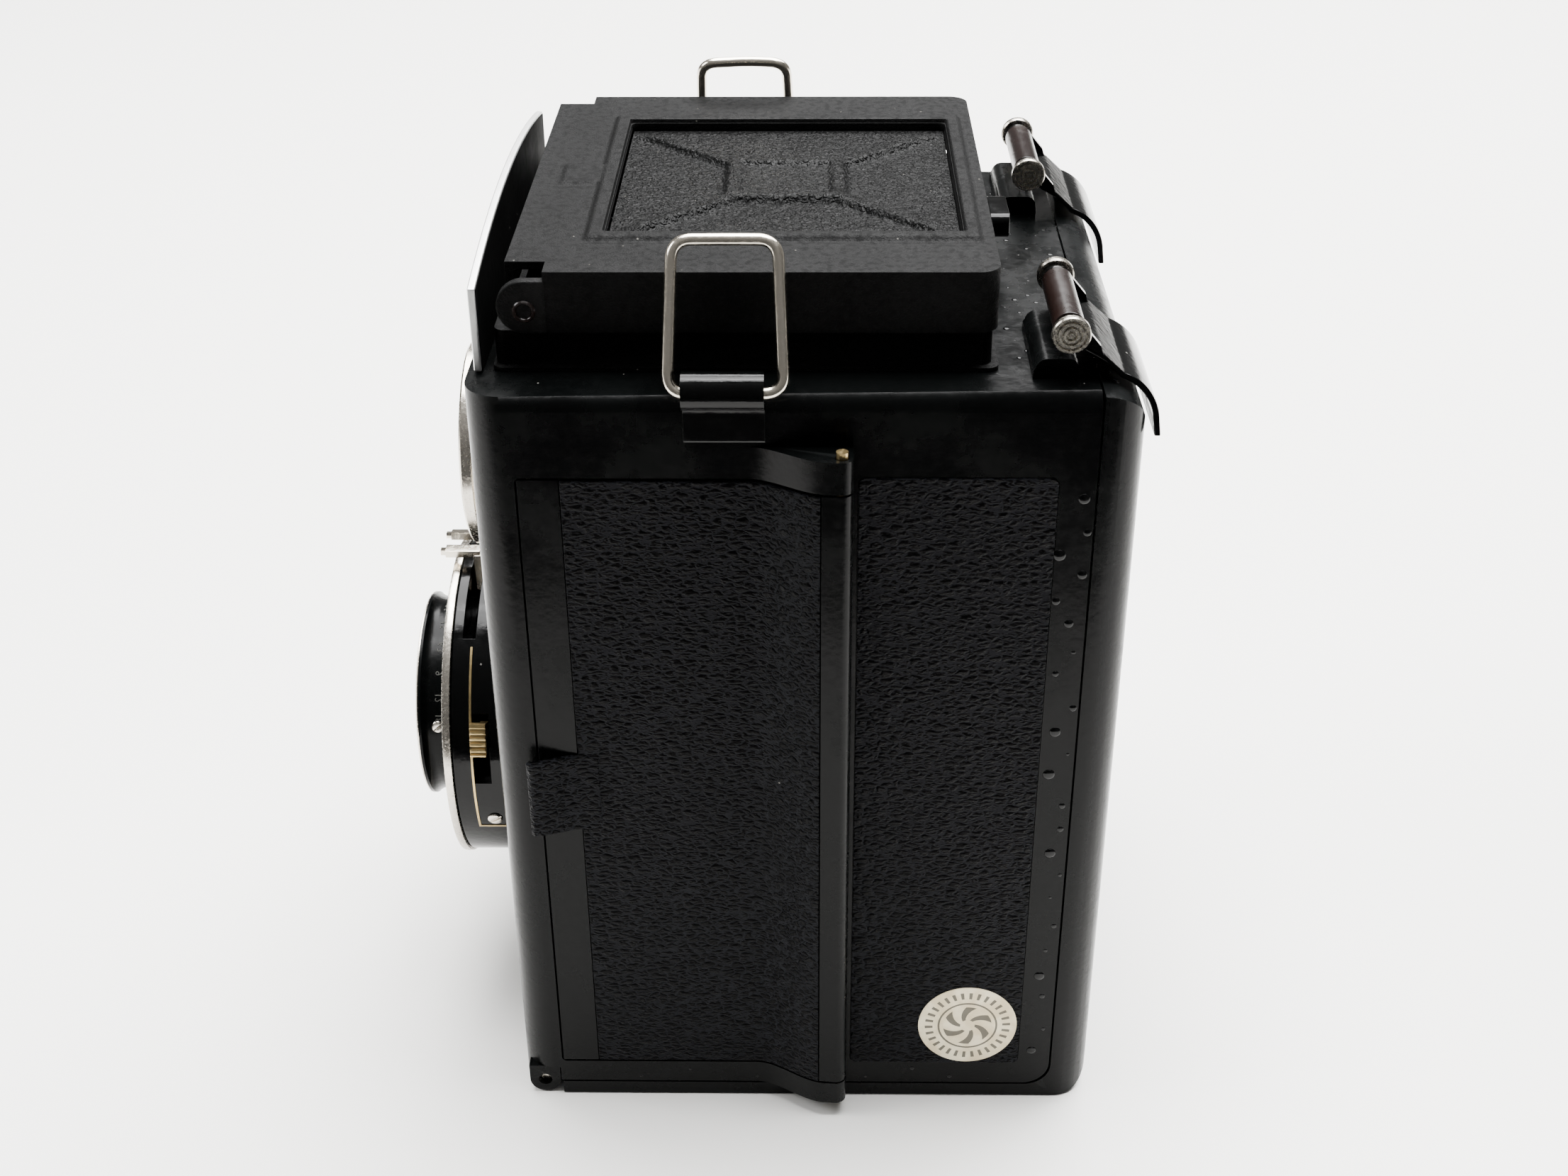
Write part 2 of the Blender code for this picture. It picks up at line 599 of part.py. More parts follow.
def make_hood_lid():
    outline = rounded(-LID_HALF, LID_FRONT_Y, LID_HALF, LID_REAR_Y, 2.2, 3)
    origin = (0.0, LID_PIVOT_Y, LID_PIVOT_Z)
    piece = add_piece("hood_lid", prism(outline, LID_FOOT_Z, LID_TOP_Z), "black_crackle", origin)
    bevel(piece, 0.9, 2)
    inner = rounded(-LID_HALF + LID_WALL, LID_FRONT_Y + 1.2, LID_HALF - LID_WALL, LID_REAR_Y - LID_WALL, 1.0, 2)
    cut(piece, prism(inner, LID_FOOT_Z - 5.0, LID_TOP_Z - 1.1))
    front = rounded(-LID_HALF - 5, LID_FRONT_Y - 3.0, LID_HALF + 5, LID_FRONT_Y + 1.6, 0.0)
    narrow = rounded(-LID_HALF + LID_WALL, LID_FRONT_Y - 3.0, LID_HALF - LID_WALL, LID_FRONT_Y + 2.0, 0.0)
    cut(piece, prism(narrow, LID_FOOT_Z - 5.0, LID_PIVOT_Z + 1.4))
    cut(piece, prism(front, LID_FOOT_Z - 5.0, LID_FOOT_Z + 1.2))
    cut(piece, rod(1.0, -LID_HALF - 3, LID_HALF + 3, (LID_PIVOT_Y, LID_PIVOT_Z), "X", 12))
    cut(piece, prism(rounded(-23.0, -26.8, 23.0, 20.2, 1.0, 2), LID_TOP_Z - 5.0, LID_TOP_Z + 3.0))
    cut(piece, rod(1.2, LID_REAR_Y - 4.0, LID_REAR_Y + 4.0, (0.0, 127.8), "Y", 12))
    for side in (1, -1):
        low, high = span(side, HOOD_HALF - 1.9, HOOD_HALF + 0.15)
        cut(piece, prism(rounded(low, LID_FRONT_Y - 3.0, high, -33.8, 0.0), LID_FOOT_Z - 5.0, LID_TOP_Z + 5.0))
    weld(piece, ridge(25.4, -29.0, 22.2, 23.0, -26.8, 20.2, LID_TOP_Z - 0.8, LID_TOP_Z + 0.5))
    weld(piece, prism(rounded(-3.7, -35.0, 3.7, -27.6, 0.8, 2), LID_TOP_Z - 0.8, LID_TOP_Z + 0.3))
    for side in (1, -1):
        cheek = circle((LID_PIVOT_Y, LID_FOOT_Z + LID_CHEEK_R), LID_CHEEK_R, 10, 90, 180)
        cheek += [(LID_FRONT_Y + 6.0, LID_FOOT_Z), (LID_FRONT_Y + 6.0, LID_FOOT_Z + 2 * LID_CHEEK_R)]
        hole = [circle((LID_PIVOT_Y, LID_PIVOT_Z), 1.0, 12)]
        weld(piece, prism(cheek, *span(side, LID_HALF - LID_WALL, LID_HALF), "X", hole))
        ear = rounded(MAGNIFIER_Y - 2.0, MAGNIFIER_Z - 2.0, MAGNIFIER_Y + 2.0, LID_TOP_Z - 0.8, (2, 2, 0, 0), 3)
        weld(piece, prism(ear, *span(side, 24.2, 25.6), "X"))
    return piece


def ridge(half, y0, y1, hole_half, hy0, hy1, low, high):
    """A raised rectangular border with a window in it."""
    window = rounded(-hole_half, hy0, hole_half, hy1, 1.0, 2)
    return prism(rounded(-half, y0, half, y1, 1.6, 3), low, high, "Z", [window])


def make_finder_panel():
    """Panel in the lid's window, with crossed ribs and a raised plain frame at its centre."""
    top = LID_TOP_Z - 1.0
    outline = rounded(-22.7, -26.5, 22.7, 19.9, 0.8, 2)
    origin = (0.0, LID_PIVOT_Y, LID_PIVOT_Z)
    piece = add_piece("finder_panel", prism(outline, top - 0.9, top), "black_crackle", origin)
    middle_y = -3.3
    plate = rounded(-8.6, middle_y - 8.75, 8.6, middle_y + 8.75, 1.2, 3)
    window = rounded(-6.8, middle_y - 6.8, 6.8, middle_y + 6.8, 0.8, 2)
    weld(piece, prism(plate, top - 0.5, top + 0.9, "Z", [window]))
    for sx in (1, -1):
        for y_end in (-25.6, 19.0):
            start = Vector((sx * 7.6, middle_y + (8.0 if y_end > 0 else -8.0)))
            end = Vector((sx * 21.6, y_end))
            across = (end - start).orthogonal().normalized() * 0.6
            rib = [tuple(start + across), tuple(end + across), tuple(end - across), tuple(start - across)]
            weld(piece, prism(rib, top - 0.5, top + 0.6))
    return piece


def make_latch_button():
    centre = (0.0, 127.8)
    piece = add_piece("hood_latch_button", rod(0.95, LID_REAR_Y - 2.2, 26.4, centre, "Y", 12), "black_enamel")
    weld(piece, prism(rounded(-4.5, 126.1, 4.5, 129.5, 1.0, 3), 25.4, 28.1, "Y"))
    return piece


def make_hood_wing(side, suffix):
    """Side of the light hood, folded flat inwards under the lid."""
    depth = 2.4
    slope_end = depth + (WING_HEIGHT - 8.0) / 1.25
    outline = [(WING_X, LID_PIVOT_Y + depth), (WING_X - 11.0, LID_PIVOT_Y + depth)]
    outline += [(WING_X - WING_HEIGHT, LID_PIVOT_Y + slope_end), (WING_X - WING_HEIGHT, 18.2)]
    outline += [(WING_X, 19.4)]
    bm = prism(sided(outline, side), WING_Z - SHEET / 2, WING_Z + SHEET / 2)
    return add_piece(f"hood_wing_{suffix}", bm, "black_enamel", (side * WING_X, GLASS_Y, WING_Z))


def make_back_flap():
    reach = 12.0
    outline = [(-31.0, FLAP_Y), (31.0, FLAP_Y), (31.0 - reach, FLAP_Y - reach), (-31.0 + reach, FLAP_Y - reach)]
    bm = prism(outline, FLAP_Z - SHEET / 2, FLAP_Z + SHEET / 2)
    return add_piece("hood_back_flap", bm, "black_enamel", (0.0, FLAP_Y, FLAP_Z))


def make_magnifier():
    centre = (0.0, 6.6)
    origin = (0.0, MAGNIFIER_Y, MAGNIFIER_Z)
    arm = rounded(-23.8, MAGNIFIER_Y - 1.5, 23.8, MAGNIFIER_Y + 1.5, 1.0, 2)
    piece = add_piece("magnifier_frame", prism(arm, MAGNIFIER_Z - 0.8, MAGNIFIER_Z + 0.8), "nickel", origin)
    plate = rounded(-13.6, MAGNIFIER_Y, 13.6, 20.2, 2.0, 3)
    weld(piece, prism(plate, MAGNIFIER_Z - 0.6, MAGNIFIER_Z + 0.6, "Z", [circle(centre, 11.4, 32)]))
    glass = [(0.0, MAGNIFIER_Z - 0.9), (11.0, MAGNIFIER_Z - 0.4), (11.0, MAGNIFIER_Z + 0.4), (0.0, MAGNIFIER_Z + 0.9)]
    return add_piece("magnifier_glass", turned(glass, centre, "Z", 32), "glass", origin)


# ---------------------------------------------------------------- strap lugs and loops

def make_strap_lug(side, suffix):
    """Riveted strap on the side, rolled over the bar of the wire loop."""
    roll = circle((LOOP_X + 0.1, LOOP_Z + 0.4), LUG_R, 16, 222.0, -300.0)
    outline = roll + [(44.8, 118.8), (44.8, LUG_FOOT_Z), (43.8, LUG_FOOT_Z)]
    hole = [circle((side * LOOP_X, LOOP_Z), 0.98, 16)]
    bm = prism(sided(outline, side), LOOP_Y - 5.2, LOOP_Y + 5.2, "Y", hole)
    return add_piece(f"strap_lug_{suffix}", bm, "black_enamel")


def make_strap_loop(side, suffix):
    """Closed wire loop that leans in against the hood at rest."""
    lean = Vector((-7.4, 0.0, 18.0)).normalized()
    height = 19.03
    base = Vector((LOOP_X, LOOP_Y, LOOP_Z))
    plan = [(-6.9, 0.0), (6.9, 0.0), (6.2, height), (-6.2, height)]
    path = []
    corner_r = 2.6
    for i, spot in enumerate(plan):
        here = Vector(spot)
        before = (Vector(plan[i - 1]) - here).normalized() * corner_r
        after = (Vector(plan[(i + 1) % 4]) - here).normalized() * corner_r
        for t in (0.0, 0.25, 0.5, 0.75, 1.0):
            path.append(here + before * (1 - t) ** 2 + after * t ** 2)
    bm = bmesh.new()
    rings = []
    sides = 10
    normal = Vector((lean.z, 0.0, -lean.x))
    for i, spot in enumerate(path):
        along = (path[(i + 1) % len(path)] - path[i - 1]).normalized()
        tangent = Vector((0.0, along.x, 0.0)) + lean * along.y
        outward = tangent.cross(normal).normalized()
        middle = base + Vector((0.0, spot.x, 0.0)) + lean * spot.y
        ring = []
        for k in range(sides):
            turn = 2 * pi * k / sides
            spot3 = middle + (outward * cos(turn) + normal * sin(turn)) * WIRE_R
            ring.append(bm.verts.new((side * spot3.x, spot3.y, spot3.z)))
        rings.append(ring)
    for i, ring in enumerate(rings):
        after = rings[(i + 1) % len(rings)]
        for k in range(sides):
            m = (k + 1) % sides
            bm.faces.new((ring[k], ring[m], after[m], after[k]))
    return add_piece(f"strap_loop_{suffix}", bm, "nickel", (side * LOOP_X, LOOP_Y, LOOP_Z))


# ---------------------------------------------------------------- spool doors

def make_spool_door(side, suffix):
    front = DOOR_FRONT_Y + GAP
    sunk = -LEATHER_SINK
    outline = [(HALF_WIDTH, front), (HALF_WIDTH, STRIP_Y)]
    outline += [(HALF_WIDTH + sunk, STRIP_Y)] + flare_line(FLARE_START_Y, 1.8, sunk)
    outline += [(flare(1.8), 1.8), (flare(FLARE_END_Y), FLARE_END_Y)]
    outline += circle((HINGE_X, HINGE_Y), HINGE_R, 9, 0, 230)
    inner = flare_line(2.0, FLARE_START_Y, -DOOR_THICK - 0.3)
    outline += inner + [(HALF_WIDTH - DOOR_THICK - 0.3, front)]
    hole = [circle((side * HINGE_X, HINGE_Y), HINGE_HOLE_R, 12)]
    bm = prism(sided(outline, side), DOOR_FOOT_Z + GAP, DOOR_HEAD_Z - GAP, "Z", hole)
    piece = add_piece(f"spool_door_{suffix}", bm, "black_enamel", (side * HINGE_X, HINGE_Y, 57.5))
    tab = [(HALF_WIDTH - 0.6, -31.5), (44.6, -31.0), (46.0, -39.4), (44.9, -39.5), (43.9, -37.6)]
    tab += [(HALF_WIDTH - 0.6, -36.0)]
    weld(piece, prism(sided(tab, side), 52.0, 64.6))
    return piece


def make_door_leather(side, suffix):
    outline = [(HALF_WIDTH + LEATHER_PROUD, STRIP_Y + GAP)] + flare_line(FLARE_START_Y, 1.5, LEATHER_PROUD)
    outline += flare_line(1.5, FLARE_START_Y, -LEATHER_PROUD)
    outline += [(HALF_WIDTH - LEATHER_PROUD, STRIP_Y + GAP)]
    bm = prism(sided(outline, side), DOOR_FOOT_Z + 0.4, DOOR_HEAD_Z - 0.4)
    notch = span(side, 42.0, 50.0)
    piece = add_piece(f"door_leather_{suffix}", bm, "black_leather", (side * HINGE_X, HINGE_Y, 57.5))
    cut(piece, prism(rounded(-40.0, 51.6, -30.6, 65.0, 0.0), *notch, "X"))
    return piece


def make_spool_door_pin(side, suffix):
    centre = (side * HINGE_X, HINGE_Y)
    return add_piece(f"spool_door_pin_{suffix}", rod(HINGE_PIN_R, 3.2, 113.9, centre, "Z", 12), "brass")


# ---------------------------------------------------------------- back door

def make_back_door():
    """Rear wall and floor in one L-shaped door, hinged at the front of the floor."""
    outline = [(-38.2, 0.0)] + circle((REAR_Y - 4.0, 4.0), 4.0, 5, -90, 90)
    outline += circle((BACK_Y, TOP_Z - BACK_TOP_R), BACK_TOP_R, 6, 0, 90)
    outline += [(BACK_Y, 6.6)] + circle((BACK_Y - 4.0, BACK_FLOOR + 4.0), 4.0, 4, 0, -90)
    outline += [(-38.2, BACK_FLOOR)]
    bm = prism(outline, -HALF_WIDTH, HALF_WIDTH, "X")
    origin = (0.0, BACK_HINGE_Y, BACK_HINGE_Z)
    piece = add_piece("back_door", bm, "black_enamel", origin)
    plan = rounded(-HALF_WIDTH, -60.0, HALF_WIDTH, REAR_Y, (0.0, 0.0, BACK_SIDE_R, BACK_SIDE_R), 5)
    combine(piece, prism(plan, -5.0, TOP_Z + 5.0), "INTERSECT")
    cut(piece, prism(rounded(-40.5, 9.0, 40.5, 110.0, 2.0, 3), BACK_Y - 3.0, REAR_Y - 2.2, "Y"))
    cut(piece, prism(rounded(-36.5, 8.5, 36.5, 108.0, 1.0, 2), REAR_Y - LEATHER_SINK, REAR_Y + 3.0, "Y"))
    cut(piece, rod(BUSH_R + GAP, -3.0, 5.0, (BUSH_X, BUSH_Y), "Z", 32))
    low, high = -BACK_BARREL_HALF, BACK_BARREL_HALF
    barrel = circle((BACK_HINGE_Y, BACK_HINGE_Z), BACK_HINGE_R, 14, 90, 180)
    barrel += [(-36.5, 0.0), (-36.5, BACK_FLOOR), (BACK_HINGE_Y + 2.0, BACK_FLOOR + 1.4)]
    weld(piece, prism(barrel, low, high, "X"))
    cut(piece, rod(BACK_HOLE_R, low - 2.0, high + 2.0, (BACK_HINGE_Y, BACK_HINGE_Z), "X", 16))
    return piece


def make_back_leather():
    outline = rounded(-36.2, 8.8, 36.2, 107.7, 0.8, 2)
    bm = prism(outline, REAR_Y - LEATHER_PROUD, REAR_Y + LEATHER_PROUD, "Y")
    return add_piece("back_leather", bm, "black_leather", (0.0, BACK_HINGE_Y, BACK_HINGE_Z))


def make_pressure_plate():
    outline = rounded(-33.0, TAKING_Z - 33.0, 33.0, TAKING_Z + 33.0, 2.0, 3)
    bm = prism(outline, 36.0, 37.0, "Y")
    return add_piece("pressure_plate", bm, "black_enamel", (0.0, 36.5, TAKING_Z))


def make_back_hinge_pin():
    bm = rod(BACK_PIN_R, -HALF_WIDTH + 1.3, HALF_WIDTH - 1.3, (BACK_HINGE_Y, BACK_HINGE_Z), "X", 16)
    return add_piece("back_hinge_pin", bm, "nickel")


def make_tripod_bush():
    profile = [(BUSH_THREAD_R, 0.0), (BUSH_R, 0.0), (BUSH_R, BUSH_HEIGHT), (BUSH_THREAD_R, BUSH_HEIGHT)]
    return add_piece("tripod_bush", turned(profile, (BUSH_X, BUSH_Y), "Z", 32), "nickel")


# ---------------------------------------------------------------- latches

def make_latch_arm(side, suffix):
    """Spring strap hinged on the back door, curving over its top edge to the roller."""
    def line(offset):
        points = [(LATCH_HINGE_Y - 0.2 + offset, LATCH_HINGE_Z - 0.3)]
        points += circle((BACK_Y, TOP_Z - BACK_TOP_R), BACK_TOP_R + 1.0 + offset, 6, 8, 62)
        points += [(37.6, 122.9 + offset), (35.0, ROLLER_Z - 2.6 + offset)]
        return points
    outline = line(0.9) + line(0.0)[::-1]
    low, high = span(side, LATCH_X0, LATCH_X1)
    origin = (side * (LATCH_X0 + LATCH_X1) / 2, LATCH_HINGE_Y, LATCH_HINGE_Z)
    piece = add_piece(f"latch_arm_{suffix}", prism(outline, low, high, "X"), "black_enamel", origin)
    for near, far in ((LATCH_X0, LATCH_X0 + 1.0), (LATCH_X1 - 1.0, LATCH_X1)):
        cheek = circle((ROLLER_Y, ROLLER_Z), 1.9, 10, 60, 200) + [(35.4, ROLLER_Z - 2.3), (36.6, ROLLER_Z - 2.4)]
        hole = [circle((ROLLER_Y, ROLLER_Z), 0.85, 12)]
        weld(piece, prism(cheek, *span(side, near, far), "X", hole))
    return piece


def make_latch_roller(side, suffix):
    centre = (ROLLER_Y, ROLLER_Z)
    marks = [LATCH_X0 - 1.4, LATCH_X0 - 0.3, LATCH_X0 + 1.3, LATCH_X1 - 1.3, LATCH_X1 + 0.3, LATCH_X1 + 1.4]
    radii = [2.5, 0.7, 2.1, 0.7, 2.5]
    profile = [(0.0, side * marks[0])]
    for radius, start, end in zip(radii, marks, marks[1:]):
        profile += [(radius, side * start), (radius, side * end)]
    profile.append((0.0, side * marks[-1]))
    origin = (side * (LATCH_X0 + LATCH_X1) / 2, ROLLER_Y, ROLLER_Z)
    return add_piece(f"latch_roller_{suffix}", turned(profile, centre, "X", 20), "nickel", origin)


# ---------------------------------------------------------------- film advance

def make_advance_lever():
    origin = (-HALF_WIDTH, ADVANCE_Y, ADVANCE_Z)
    bm = rod(6.0, -46.2, -44.1, (ADVANCE_Y, ADVANCE_Z), "X", 28)
    piece = add_piece("advance_lever", bm, "nickel", origin)
    weld(piece, rod(SPINDLE_R, -45.0, -40.2, (ADVANCE_Y, ADVANCE_Z), "X", 16))
    arm = rounded(ADVANCE_Y - 2.6, ADVANCE_Z - ADVANCE_REACH, ADVANCE_Y + 2.6, ADVANCE_Z, 2.0, 3)
    weld(piece, prism(arm, -45.9, -44.5, "X"))
    weld(piece, rod(2.6, -49.5, -45.0, (ADVANCE_Y, ADVANCE_Z - ADVANCE_REACH + 3.4), "X", 20))
    return piece


def make_counter_dial():
    origin = (-HALF_WIDTH, COUNTER_Y, COUNTER_Z)
    profile = [(0.0, -45.4), (COUNTER_R - 0.6, -45.4), (COUNTER_R, -45.0), (COUNTER_R, -44.1)]
    profile += [(SPINDLE_R, -44.1), (SPINDLE_R, -40.2), (0.0, -40.2)]
    return add_piece("counter_dial", turned(profile, (COUNTER_Y, COUNTER_Z), "X", 32), "nickel", origin)


def main():
    for item in list(bpy.data.objects):
        bpy.data.objects.remove(item, do_unlink=True)
    make_front_wall()
    make_top_plate()
    make_fascia()
    make_film_chamber()
    make_film_gate()
    make_mirror()
    make_focusing_screen()
    make_viewing_lens()
    make_shutter_housing()
    make_shutter_rim()
    make_taking_lens()
    make_lens_tab("cocking_lever", 86.0, 5.4)
    make_lens_tab("aperture_lever", 97.6, 4.6)
    make_release_lever()
    make_focus_lever()
    make_hood_base()
    make_hood_lid()
    make_finder_panel()
    make_latch_button()
    make_back_flap()
    make_magnifier()
    make_back_door()
    make_back_leather()
    make_pressure_plate()
    make_back_hinge_pin()
    make_tripod_bush()
    make_advance_lever()
    make_counter_dial()
    for side, suffix in ((1, "left"), (-1, "right")):
        make_side_wall(side, suffix)
        make_side_leather(side, suffix)
        make_guide_roller(side, suffix)
        make_spool(side, suffix)
        make_hood_rivet(side, suffix)
        make_hood_wing(side, suffix)
        make_strap_lug(side, suffix)
        make_strap_loop(side, suffix)
        make_spool_door(side, suffix)
        make_door_leather(side, suffix)
        make_spool_door_pin(side, suffix)
        make_latch_arm(side, suffix)
        make_latch_roller(side, suffix)


main()
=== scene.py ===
"""Looks of the twin lens reflex camera: enamel shells, leather, crackle hood and worn nickel.

Shapes are drawn in millimetres and turned into metres when a piece is finished. -Y is towards the
lenses, +X is the user's left, +Z is up.
"""
import json
from math import cos, hypot, pi, radians, sin

import bmesh
import bpy
from mathutils import Matrix, Vector
from mathutils.geometry import tessellate_polygon


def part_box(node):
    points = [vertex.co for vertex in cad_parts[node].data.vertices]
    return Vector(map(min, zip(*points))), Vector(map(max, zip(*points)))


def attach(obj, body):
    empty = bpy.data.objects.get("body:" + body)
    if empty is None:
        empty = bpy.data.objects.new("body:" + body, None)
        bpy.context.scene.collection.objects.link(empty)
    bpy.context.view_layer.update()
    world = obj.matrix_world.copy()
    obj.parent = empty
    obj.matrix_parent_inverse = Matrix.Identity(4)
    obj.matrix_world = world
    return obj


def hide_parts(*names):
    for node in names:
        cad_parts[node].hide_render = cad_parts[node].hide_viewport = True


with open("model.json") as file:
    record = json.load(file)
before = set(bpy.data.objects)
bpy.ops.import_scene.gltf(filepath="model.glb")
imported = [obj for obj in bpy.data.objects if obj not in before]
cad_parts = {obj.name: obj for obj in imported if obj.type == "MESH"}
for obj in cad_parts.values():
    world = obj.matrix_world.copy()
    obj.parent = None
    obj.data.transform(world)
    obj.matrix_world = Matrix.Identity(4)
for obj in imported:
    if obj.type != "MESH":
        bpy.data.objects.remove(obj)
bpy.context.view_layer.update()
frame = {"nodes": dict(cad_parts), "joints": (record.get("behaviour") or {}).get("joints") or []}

MM = 0.001
TO_MM = 1000.0


def box_mm(node):
    """Lowest and highest corner of a CAD node, in millimetres."""
    low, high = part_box(node)
    return low * TO_MM, high * TO_MM


def pivot_mm(joint_name):
    """A joint's point on its axis, in millimetres."""
    joint = next(j for j in frame["joints"] if j["name"] == joint_name)
    return Vector(joint["pos_m"]) * TO_MM


# ---------------------------------------------------------------- driving sizes, from the frame

FRONT_LOW, FRONT_HIGH = box_mm("front_wall")
DOOR_LOW, DOOR_HIGH = box_mm("spool_door_left")
FASCIA_LOW, FASCIA_HIGH = box_mm("fascia_plate")
VIEW_LOW, VIEW_HIGH = box_mm("viewing_lens_barrel")
HALF = FRONT_HIGH.x
FRONT_Y = FRONT_LOW.y
DECK_TOP = 120.0
WALL = 2.5
HINGE = pivot_mm("spool_door_left_hinge")
HINGE_R = 1.5
BACK_HINGE = pivot_mm("back_door_hinge")
LID_PIVOT = pivot_mm("hood_lid_hinge")
LOOP = pivot_mm("strap_loop_left_swing")
TAKING_Z = pivot_mm("focus_lever_turn").z
VIEWING_Z = (VIEW_LOW.z + VIEW_HIGH.z) / 2
GLASS_Y = -8.6
DOOR_FRONT_Y = box_mm("side_wall_left")[0].y
OPENING_FOOT_Z = DOOR_LOW.z - 0.3
OPENING_HEAD_Z = DOOR_HIGH.z + 0.3
CAP_HEAD_Z = 113.0
FLARE_START_Y = -8.0
FLARE_END_Y = 2.8
FLARE_RISE = 4.5
BACK_PLANE_Y = 37.5
SKIN_FRONT_Y = FRONT_Y - 0.7


# ---------------------------------------------------------------- shape helpers

def place(point, level, axis):
    """Put a 2-D outline point and a level along the axis into 3-D."""
    u, v = point
    if axis == "X":
        return Vector((level, u, v))
    if axis == "Y":
        return Vector((u, level, v))
    return Vector((u, v, level))


def prism(outline, low, high, axis="Z", holes=()):
    """Extrude an outline, with optional holes, between two levels along an axis."""
    bm = bmesh.new()
    loops = [list(outline)] + [list(hole) for hole in holes]
    ends = []
    for level in (low, high):
        ends.append([[bm.verts.new(place(p, level, axis)) for p in loop] for loop in loops])
    for near, far in zip(*ends):
        for i in range(len(near)):
            j = (i + 1) % len(near)
            bm.faces.new((near[i], near[j], far[j], far[i]))
    if not holes:
        for end in ends:
            bm.faces.new(end[0])
        return bm
    flat = [[Vector((p[0], p[1], 0.0)) for p in loop] for loop in loops]
    for end in ends:
        corners = [vert for loop in end for vert in loop]
        for triangle in tessellate_polygon(flat):
            bm.faces.new([corners[k] for k in triangle])
    return bm


def turned(profile, centre, axis="Y", segments=96):
    """Turn a closed profile of (radius, level) points about an axis through the centre."""
    bm = bmesh.new()
    rings = []
    for radius, level in profile:
        count = segments if radius > 1e-6 else 1
        ring = []
        for i in range(count):
            turn = 2 * pi * i / segments
            spot = (centre[0] + radius * cos(turn), centre[1] + radius * sin(turn))
            ring.append(bm.verts.new(place(spot, level, axis)))
        rings.append(ring)
    for k, ring in enumerate(rings):
        after = rings[(k + 1) % len(rings)]
        if len(ring) == 1 and len(after) == 1:
            continue
        for i in range(segments):
            j = (i + 1) % segments
            corners = [ring[i % len(ring)], ring[j % len(ring)]]
            corners += [after[j % len(after)], after[i % len(after)]]
            bm.faces.new(list(dict.fromkeys(corners)))
    return bm


def circle(centre, radius, segments=48, start=0.0, sweep=360.0):
    """Points round a circle, or along an arc when the sweep is less than a full turn."""
    full = abs(sweep) >= 360.0
    steps = segments if full else segments + 1
    points = []
    for i in range(steps):
        turn = radians(start + sweep * i / segments)
        points.append((centre[0] + radius * cos(turn), centre[1] + radius * sin(turn)))
    return points


def soft_prism(outline, low, high, axis="Z", holes=(), top=0.3, foot=0.0, segments=3):
    """A prism whose outer edges are rounded at its high and low ends."""
    bm = prism(outline, low, high, axis, holes)
    index = "XYZ".index(axis)
    for level, radius in ((high, top), (low, foot)):
        if radius <= 0:
            continue
        edges = [e for e in bm.edges if all(abs(v.co[index] - level) < 1e-4 for v in e.verts)]
        edges = [e for e in edges if e.calc_face_angle(0.0) > 1.0]
        bmesh.ops.bevel(bm, geom=edges, offset=radius, segments=segments, profile=0.5, affect="EDGES")
    return bm


def rod(radius, low, high, centre, axis="Z", segments=40):
    return prism(circle(centre, radius, segments), low, high, axis)


def rounded(x0, y0, x1, y1, radii, segments=8):
    """A rectangle with a radius for each corner, from low-low round to low-high."""
    if isinstance(radii, (int, float)):
        radii = (radii,) * 4
    corners = ((x0, y0, 1, 1), (x1, y0, -1, 1), (x1, y1, -1, -1), (x0, y1, 1, -1))
    points = []
    for turn, ((x, y, dx, dy), radius) in enumerate(zip(corners, radii)):
        if radius <= 0:
            points.append((x, y))
            continue
        middle = (x + dx * radius, y + dy * radius)
        points += circle(middle, radius, segments, 180.0 + 90.0 * turn, 90.0)
    return points


def sided(outline, side):
    """An outline drawn for the left, moved to the given side."""
    return [(side * u, v) for u, v in outline]


def span(side, near, far):
    """Two X levels drawn for the left, in rising order on the given side."""
    return sorted((side * near, side * far))


def smooth_step(t):
    t = min(max(t, 0.0), 1.0)
    return t * t * (3 - 2 * t)


def flare(y, offset=0.0):
    """How far out the side stands at a given Y: flat, then swelling to clear the hinge."""
    return HALF + FLARE_RISE * smooth_step((y - FLARE_START_Y) / (FLARE_END_Y - FLARE_START_Y)) + offset


def flare_line(y_from, y_to, offset=0.0, steps=28):
    ys = [y_from + (y_to - y_from) * i / steps for i in range(steps + 1)]
    return [(flare(y, offset), y) for y in ys]


def raw_object(name, bm):
    """Turn a bmesh in millimetres into an object in metres at the origin."""
    bmesh.ops.scale(bm, vec=(MM, MM, MM), verts=bm.verts)
    bmesh.ops.recalc_face_normals(bm, faces=bm.faces)
    mesh = bpy.data.meshes.new(name)
    bm.to_mesh(mesh)
    bm.free()
    made = bpy.data.objects.new(name, mesh)
    bpy.context.scene.collection.objects.link(made)
    return made


def baked(item):
    """Apply an object's modifiers, so that it holds one plain mesh."""
    bpy.context.view_layer.update()
    depsgraph = bpy.context.evaluated_depsgraph_get()
    mesh = bpy.data.meshes.new_from_object(item.evaluated_get(depsgraph))
    item.modifiers.clear()
    old = item.data
    item.data = mesh
    bpy.data.meshes.remove(old)
    return item


